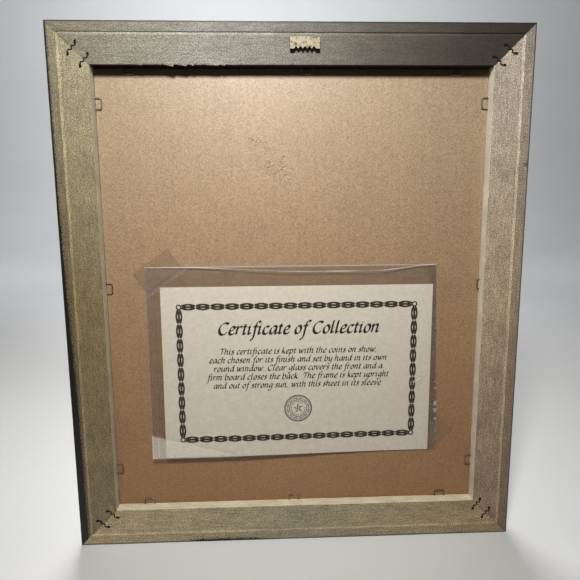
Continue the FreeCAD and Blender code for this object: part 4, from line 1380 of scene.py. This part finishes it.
def make_seal():
    """Generic round seal: rings, a ring of dots, and a faceted star over a small wreath."""
    centre = np.array([PAPER_MIDDLE - 0.2, PAPER_LOW[2] + SEAL_RISE])
    shell = Shell()
    for radius, wide, sides in SEAL_RINGS:
        ink_ring(shell, centre, radius, wide, sides)
    for number in range(36):
        turn = number * math.pi / 18
        corner = np.linspace(0, 2 * math.pi, 6, endpoint=False) + turn
        wide = 0.62 if number % 3 else 0.36
        ink_shape(shell, centre + 8.55 * heading(turn) + wide * heading(corner))
    for point in range(5):
        tip = math.pi / 2 + point * 2 * math.pi / 5
        notch = tip + math.pi / 5
        ink_shape(shell, [centre, centre + 4.6 * heading(tip), centre + 1.9 * heading(notch)])
    for number in range(22):
        out = heading(math.radians(56 + 304 * number / 21))
        side = np.array([-out[1], out[0]])
        leaf = [0 * out, out * 0.6 + side * 0.45, out * 1.35, out * 0.5 - side * 0.35]
        ink_shape(shell, centre + out * 5.1 + np.array(leaf))
    shell.build("certificate_seal", MATERIALS["ink"], "certificate")


# ---------------------------------------------------------------- display side


COIN_NAMES = sorted(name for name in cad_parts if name.startswith("coin_row"))
COIN_KINDS = 4
RIM = 1.6
PRESSED_RING = ((26.5, 0.0), (24.2, 0.0), (23.9, 0.22), (23.5, 0.22), (23.2, 0.0))
CELL_STEPS = 26


def star_relief(r, angle, points, inner, outer):
    """Faceted star: height falls from each ridge to the edges between tip and notch."""
    sector = math.pi / points
    local = np.abs((angle + sector) % (2 * sector) - sector)
    x, y = r * np.cos(local), r * np.sin(local)
    notch = np.array([inner * math.cos(sector), inner * math.sin(sector)])
    edge = notch - np.array([outer, 0.0])
    edge /= np.linalg.norm(edge)
    inside = (x - outer) * edge[1] - y * edge[0]
    return np.clip(inside / 3.2, 0, 1) * np.clip(inside * 6, 0, 1)


def leaf_ring(r, angle, count, middle, long, wide, lean):
    """A wreath: count leaves round a ring, each an almond with a middle vein."""
    step = 2 * math.pi / count
    local = (angle % step - step / 2) * middle
    out = r - middle
    a = local * math.cos(lean) + out * math.sin(lean)
    b = -local * math.sin(lean) + out * math.cos(lean)
    body = 1 - (a / long) ** 2 - (np.abs(b) / wide) ** 1.3
    return np.clip(body * 2.2, 0, 1) * (1 - 0.35 * hill(b, 0.16))


def coin_relief(kind, r, angle, radius):
    """Height of a coin's face over its field, 0 to 1: beads, then a generic device."""
    beads = hill(r - radius + RIM + 1.0, 0.42) * (0.5 + 0.5 * np.cos(angle * 72))
    height = 0.75 * np.clip(beads * 1.6, 0, 1)
    if kind == 0:
        device = star_relief(r, angle, 5, 3.6, 9.0)
        wreath = leaf_ring(r, angle, 30, 12.2, 1.35, 0.62, 0.6)
        return np.maximum.reduce([height, device, 0.8 * wreath])
    if kind == 1:
        device = star_relief(r, angle, 8, 3.4, 10.4)
        return np.maximum.reduce([height, device, 0.7 * hill(r - 11.2, 0.35)])
    if kind == 2:
        inner = leaf_ring(r, angle, 22, 9.4, 1.9, 0.85, 0.75)
        outer = leaf_ring(r, angle + 0.14, 22, 12.0, 1.7, 0.75, -0.75)
        boss = np.clip((5.2 - r) * 2.0, 0, 1) * (0.45 + 0.55 * star_relief(r, angle, 6, 2.0, 4.6))
        return np.maximum.reduce([height, 0.85 * inner, 0.85 * outer, boss])
    rays = (0.5 + 0.5 * np.cos(angle * 24)) * smooth(6.6, 7.6, r) * smooth(14.0, 9.0, r)
    disc = np.sqrt(np.clip(1 - (r / 6.2) ** 2, 0, 1))
    return np.maximum.reduce([height, 0.7 * rays, 0.9 * disc])


def make_coin(node, kind):
    """A struck coin as a surface of radius and angle: rim, beads and device on both faces.

    Depth over the middle is the field, plus the relief inside the rim, plus the rim's own step,
    less a small ease at its edge. The edge is reeded by a cosine of the angle.
    """
    low, high = box_mm(node)
    middle = (low + high) / 2
    radius = (high[0] - low[0]) / 2
    half = (high[1] - low[1]) / 2
    field = half - 0.34
    inner = radius - RIM
    r = np.concatenate([
        np.linspace(0.12, inner, 58),
        [inner + 0.12, inner + 0.35, radius - 0.45, radius - 0.15, radius - 0.02],
    ])
    angle = np.linspace(0, 2 * math.pi, 216, endpoint=False)
    grid_r, grid_a = np.meshgrid(r, angle, indexing="ij")
    rim = smooth(inner, inner + 0.3, grid_r)
    raised = field + (half - field) * rim - smooth(radius - 0.5, radius, grid_r) * 0.12
    height = coin_relief(kind, grid_r, grid_a - math.pi / 2, radius)
    reverse = coin_relief((kind + 2) % COIN_KINDS, grid_r, grid_a, radius)
    face = raised + 0.28 * height * (1 - rim)
    back = raised + 0.24 * reverse * (1 - rim)
    hollow = np.clip(1 - height * 1.6, 0, 1) * (1 - rim) * 0.85
    x = middle[0] + grid_r * np.cos(grid_a)
    z = middle[2] + grid_r * np.sin(grid_a)
    reed = radius - 0.06 * (0.5 + 0.5 * np.cos(angle * 108))
    edge_x, edge_z = middle[0] + reed * np.cos(angle), middle[2] + reed * np.sin(angle)
    wall = [places(edge_x, middle[1] + level, edge_z) for level in (half - 0.2, 0.2 - half)]
    front, behind = places(x, middle[1] + face, z), places(x, middle[1] - back, z)
    rows = np.concatenate([front, np.array(wall), behind[::-1]])
    count, total = len(angle), rows.shape[0] * len(angle)
    values = np.concatenate([hollow, np.zeros((2, count)), hollow[::-1]])
    poles = middle + np.array([[0, face[0].mean(), 0], [0, -back[0].mean(), 0]])
    faces = [list(quad) for quad in grid_quads(rows.shape[0], count, wrap_columns=True)]
    for pole, first in ((total, 0), (total + 1, total - count)):
        faces += [[pole, first + k, first + (k + 1) % count] for k in range(count)]
    shell = Shell()
    points = np.concatenate([rows.reshape(-1, 3), poles])
    shell.add(points, faces, hollow=np.concatenate([values.ravel(), [0, 0]]))
    shell.build(node + "_struck", MATERIALS["coin"], stands_for=(node,), slot="coin_metal")


def make_coins():
    """Four generic devices, repeated over the grid of coins."""
    for number, node in enumerate(COIN_NAMES):
        make_coin(node, number % COIN_KINDS)


def side_points(run):
    """Places round a unit rectangle: the same steps on each side, from its lower left corner."""
    zero, one = 0 * run, 0 * run + 1
    return np.concatenate([run, one, 1 - run, zero]), np.concatenate([zero, run, one, 1 - run])


def cell_edges(low, middles, high):
    """Edges of a row of cells: the mat's two sides, and half way between the middles."""
    return [low + 0.1] + [(a + b) / 2 for a, b in zip(middles, middles[1:])] + [high - 0.1]


def walk(edges, run):
    """Steps along each cell of a row, in the order that the edges are given."""
    return np.concatenate([a + run * (b - a) for a, b in zip(edges, edges[1:])])


def make_mat():
    """Window mat: each cell runs from its rectangle in to a round, bevel-cut window.

    Rows of points go from the cell's edge, over a pressed ring, to the top of the bevel, down
    the bevel, and back out under the mat. Cells share their edge points, so the sheet is whole.
    """
    low, high = box_mm("window_mat")
    xs = sorted({round(float(centre_mm(name)[0]), 3) for name in COIN_NAMES})
    zs = sorted({round(float(centre_mm(name)[2]), 3) for name in COIN_NAMES})
    edge_x = cell_edges(low[0], xs, high[0])
    edge_z = cell_edges(low[2], zs, high[2])
    coin_low, coin_high = box_mm(COIN_NAMES[0])
    window = (coin_high[0] - coin_low[0]) / 2 - 1.0
    face, under = high[1] - 0.02, low[1] + 0.02
    rows = [(radius, face - sunk, 0.0) for radius, sunk in PRESSED_RING]
    rows += [(window + 1.25, face, 0.0), (window + 1.2, face - 0.05, 1.0), (window, under, 1.0)]
    levels = np.array([face] + [level for _, level, _ in rows] + [under, under])
    core = np.array([0.0] + [white for _, _, white in rows] + [1.0, 1.0])
    run = np.arange(CELL_STEPS) / CELL_STEPS
    step_x, step_z = side_points(run)
    shell = Shell()
    for left, right, x in zip(edge_x, edge_x[1:], xs):
        for foot, head, z in zip(edge_z, edge_z[1:], zs):
            rim = np.stack([left + step_x * (right - left), foot + step_z * (head - foot)], 1)
            centre = np.array([x, z])
            reach = np.linalg.norm(rim - centre, axis=1, keepdims=True)
            out = (rim - centre) / reach
            rings = [centre + out * np.minimum(radius, reach) for radius, _, _ in rows]
            rings = np.stack([rim, *rings, centre + out * (window + 0.2), rim])
            points = places(rings[..., 0], levels[:, None], rings[..., 1])
            faces = grid_quads(len(rings), len(rim), wrap_columns=True)
            shell.add(points, faces, core=np.repeat(core, len(rim)))
    shell.add(*mat_rim(edge_x, edge_z, run, face, under), core=0)
    node = "window_mat"
    shell.build(
        node + "_board", MATERIALS["mat"], stands_for=(node,), slot="mat_board", merge=0.001
    )


def mat_rim(edge_x, edge_z, run, face, under):
    """The mat's outer edge: the sides of the outer cells, walked once round."""
    x, z = walk(edge_x, run), walk(edge_z, run)
    still_x, still_z = 0 * x, 0 * z
    round_x = [x, still_z + edge_x[-1], walk(edge_x[::-1], run), still_z + edge_x[0]]
    round_z = [still_x + edge_z[0], z, still_x + edge_z[-1], walk(edge_z[::-1], run)]
    x, z = np.concatenate(round_x), np.concatenate(round_z)
    points = np.stack([places(x, level, z) for level in (face, under)])
    return points, grid_quads(2, len(x), wrap_columns=True)


def make_display_side():
    """Coins, mat, glass, carrier and card."""
    make_coins()
    make_mat()
    softened("glazing", 0.25, MATERIALS["glass"])
    softened("coin_carrier", 0.12, MATERIALS["foam"])
    softened("closing_card", 0.08, MATERIALS["card"])


# ---------------------------------------------------------------- floor, light and camera


FLOOR_NEAR = 4.0
FLOOR_SIDE = 5.0
CURVE_START = 2.2
CURVE = 1.2
BACKDROP_TALL = 5.0


def make_stage():
    """Pale floor, in metres, that curves up through a quarter circle into a far backdrop."""
    material, tree, shader = new_material("pale_floor", Roughness=0.55)
    fleck = flecks(tree, object_place(tree), 300.0, 0.01, 3.0, 0.015).outputs["Tone"]
    feed(tree, shader, Base_Color=shaded(tree, FLOOR_WHITE, fleck))
    turn = np.linspace(0, math.pi / 2, 24)[1:]
    depth = np.concatenate([[-FLOOR_NEAR, CURVE_START], CURVE_START + CURVE * np.sin(turn)])
    height = np.concatenate([[0.0, 0.0], CURVE - CURVE * np.cos(turn)])
    depth = np.append(depth, CURVE_START + CURVE)
    height = np.append(height, BACKDROP_TALL)
    x, depth = np.meshgrid(np.linspace(-FLOOR_SIDE, FLOOR_SIDE, 9), depth)
    grid = places(x, depth, height[:, None])
    mesh = bpy.data.meshes.new("floor")
    mesh.from_pydata(grid.reshape(-1, 3).tolist(), [], grid_quads(*x.shape).tolist())
    mesh.shade_smooth()
    floor = bpy.data.objects.new("floor", mesh)
    floor.data.materials.append(material)
    bpy.context.scene.collection.objects.link(floor)


def add_light(name, place, target, size, power, spread, colour):
    """A soft square light that faces its target. Lengths in metres, spread in degrees."""
    data = bpy.data.lights.new(name, "AREA")
    data.size = size
    data.energy = power
    data.spread = math.radians(spread)
    data.color = colour
    lamp = bpy.data.objects.new(name, data)
    lamp.location = place
    lamp.visible_camera = False
    lamp.rotation_euler = (Vector(target) - Vector(place)).to_track_quat("-Z", "Y").to_euler()
    bpy.context.scene.collection.objects.link(lamp)


# Name, place, target, size in m, power in W, spread in degrees, colour.
LIGHTS = (
    ("key", (-0.055, -0.462, 0.67), (-0.03, 0.0, 0.33), 0.09, 1.52, 86, (1.0, 0.98, 0.945)),
    ("display_fill", (-0.15, 1.6, 1.15), (0, 0, 0.22), 1.0, 5.2, 70, (1.0, 0.98, 0.95)),
    ("backdrop_wash", (-0.45, 0.9, 2.0), (0.15, 3.0, 1.1), 1.6, 46.0, 150, (0.97, 0.985, 1.0)),
    ("back_fill", (-0.9, -1.6, 1.1), (0, 0, 0.2), 1.6, 0.6, 180, (0.97, 0.98, 1.0)),
)


def make_lights():
    """A near lamp above the back, washes for the backdrop and the display side, a dim room."""
    for light in LIGHTS:
        add_light(*light)
    world = bpy.data.worlds.new("room")
    world.use_nodes = True
    bpy.context.scene.world = world
    backdrop = world.node_tree.nodes["Background"]
    backdrop.inputs["Color"].default_value = (1.0, 0.96, 0.9, 1.0)
    backdrop.inputs["Strength"].default_value = 0.045


CAMERA_PLACE = (-0.022, -0.437, 0.281)
CAMERA_AHEAD = (0.0406, 0.9857, -0.1634)
CAMERA_RIGHT = (0.9991, -0.0423, -0.0068)
FOCAL_PER_WIDTH = 0.9597
SENSOR = 36.0


def make_camera():
    """Camera close behind the frame, a little left of centre and looking slightly down."""
    data = bpy.data.cameras.new("view")
    data.sensor_width = SENSOR
    data.lens = SENSOR * FOCAL_PER_WIDTH
    data.clip_start = 0.01
    camera = bpy.data.objects.new("view", data)
    ahead = Vector(CAMERA_AHEAD).normalized()
    right = (Vector(CAMERA_RIGHT) - ahead * ahead.dot(Vector(CAMERA_RIGHT))).normalized()
    up = right.cross(ahead)
    turn = Matrix((right, up, -ahead)).transposed().to_4x4()
    camera.matrix_world = Matrix.Translation(Vector(CAMERA_PLACE)) @ turn
    bpy.context.scene.collection.objects.link(camera)
    bpy.context.scene.camera = camera
    bpy.context.scene.view_settings.view_transform = "Standard"


# ---------------------------------------------------------------- build


make_rails()
make_board()
make_torn_fibres()
make_staples()
make_nails()
softened("sawtooth_hanger", 0.14, MATERIALS["brass"])
make_certificate()
make_lettering()
make_border()
make_seal()
make_sleeve()
make_tape("tape_upper", 34.5, 35.5)
make_tape("tape_lower", 23.0, 40.0)
make_display_side()
make_stage()
make_lights()
make_camera()
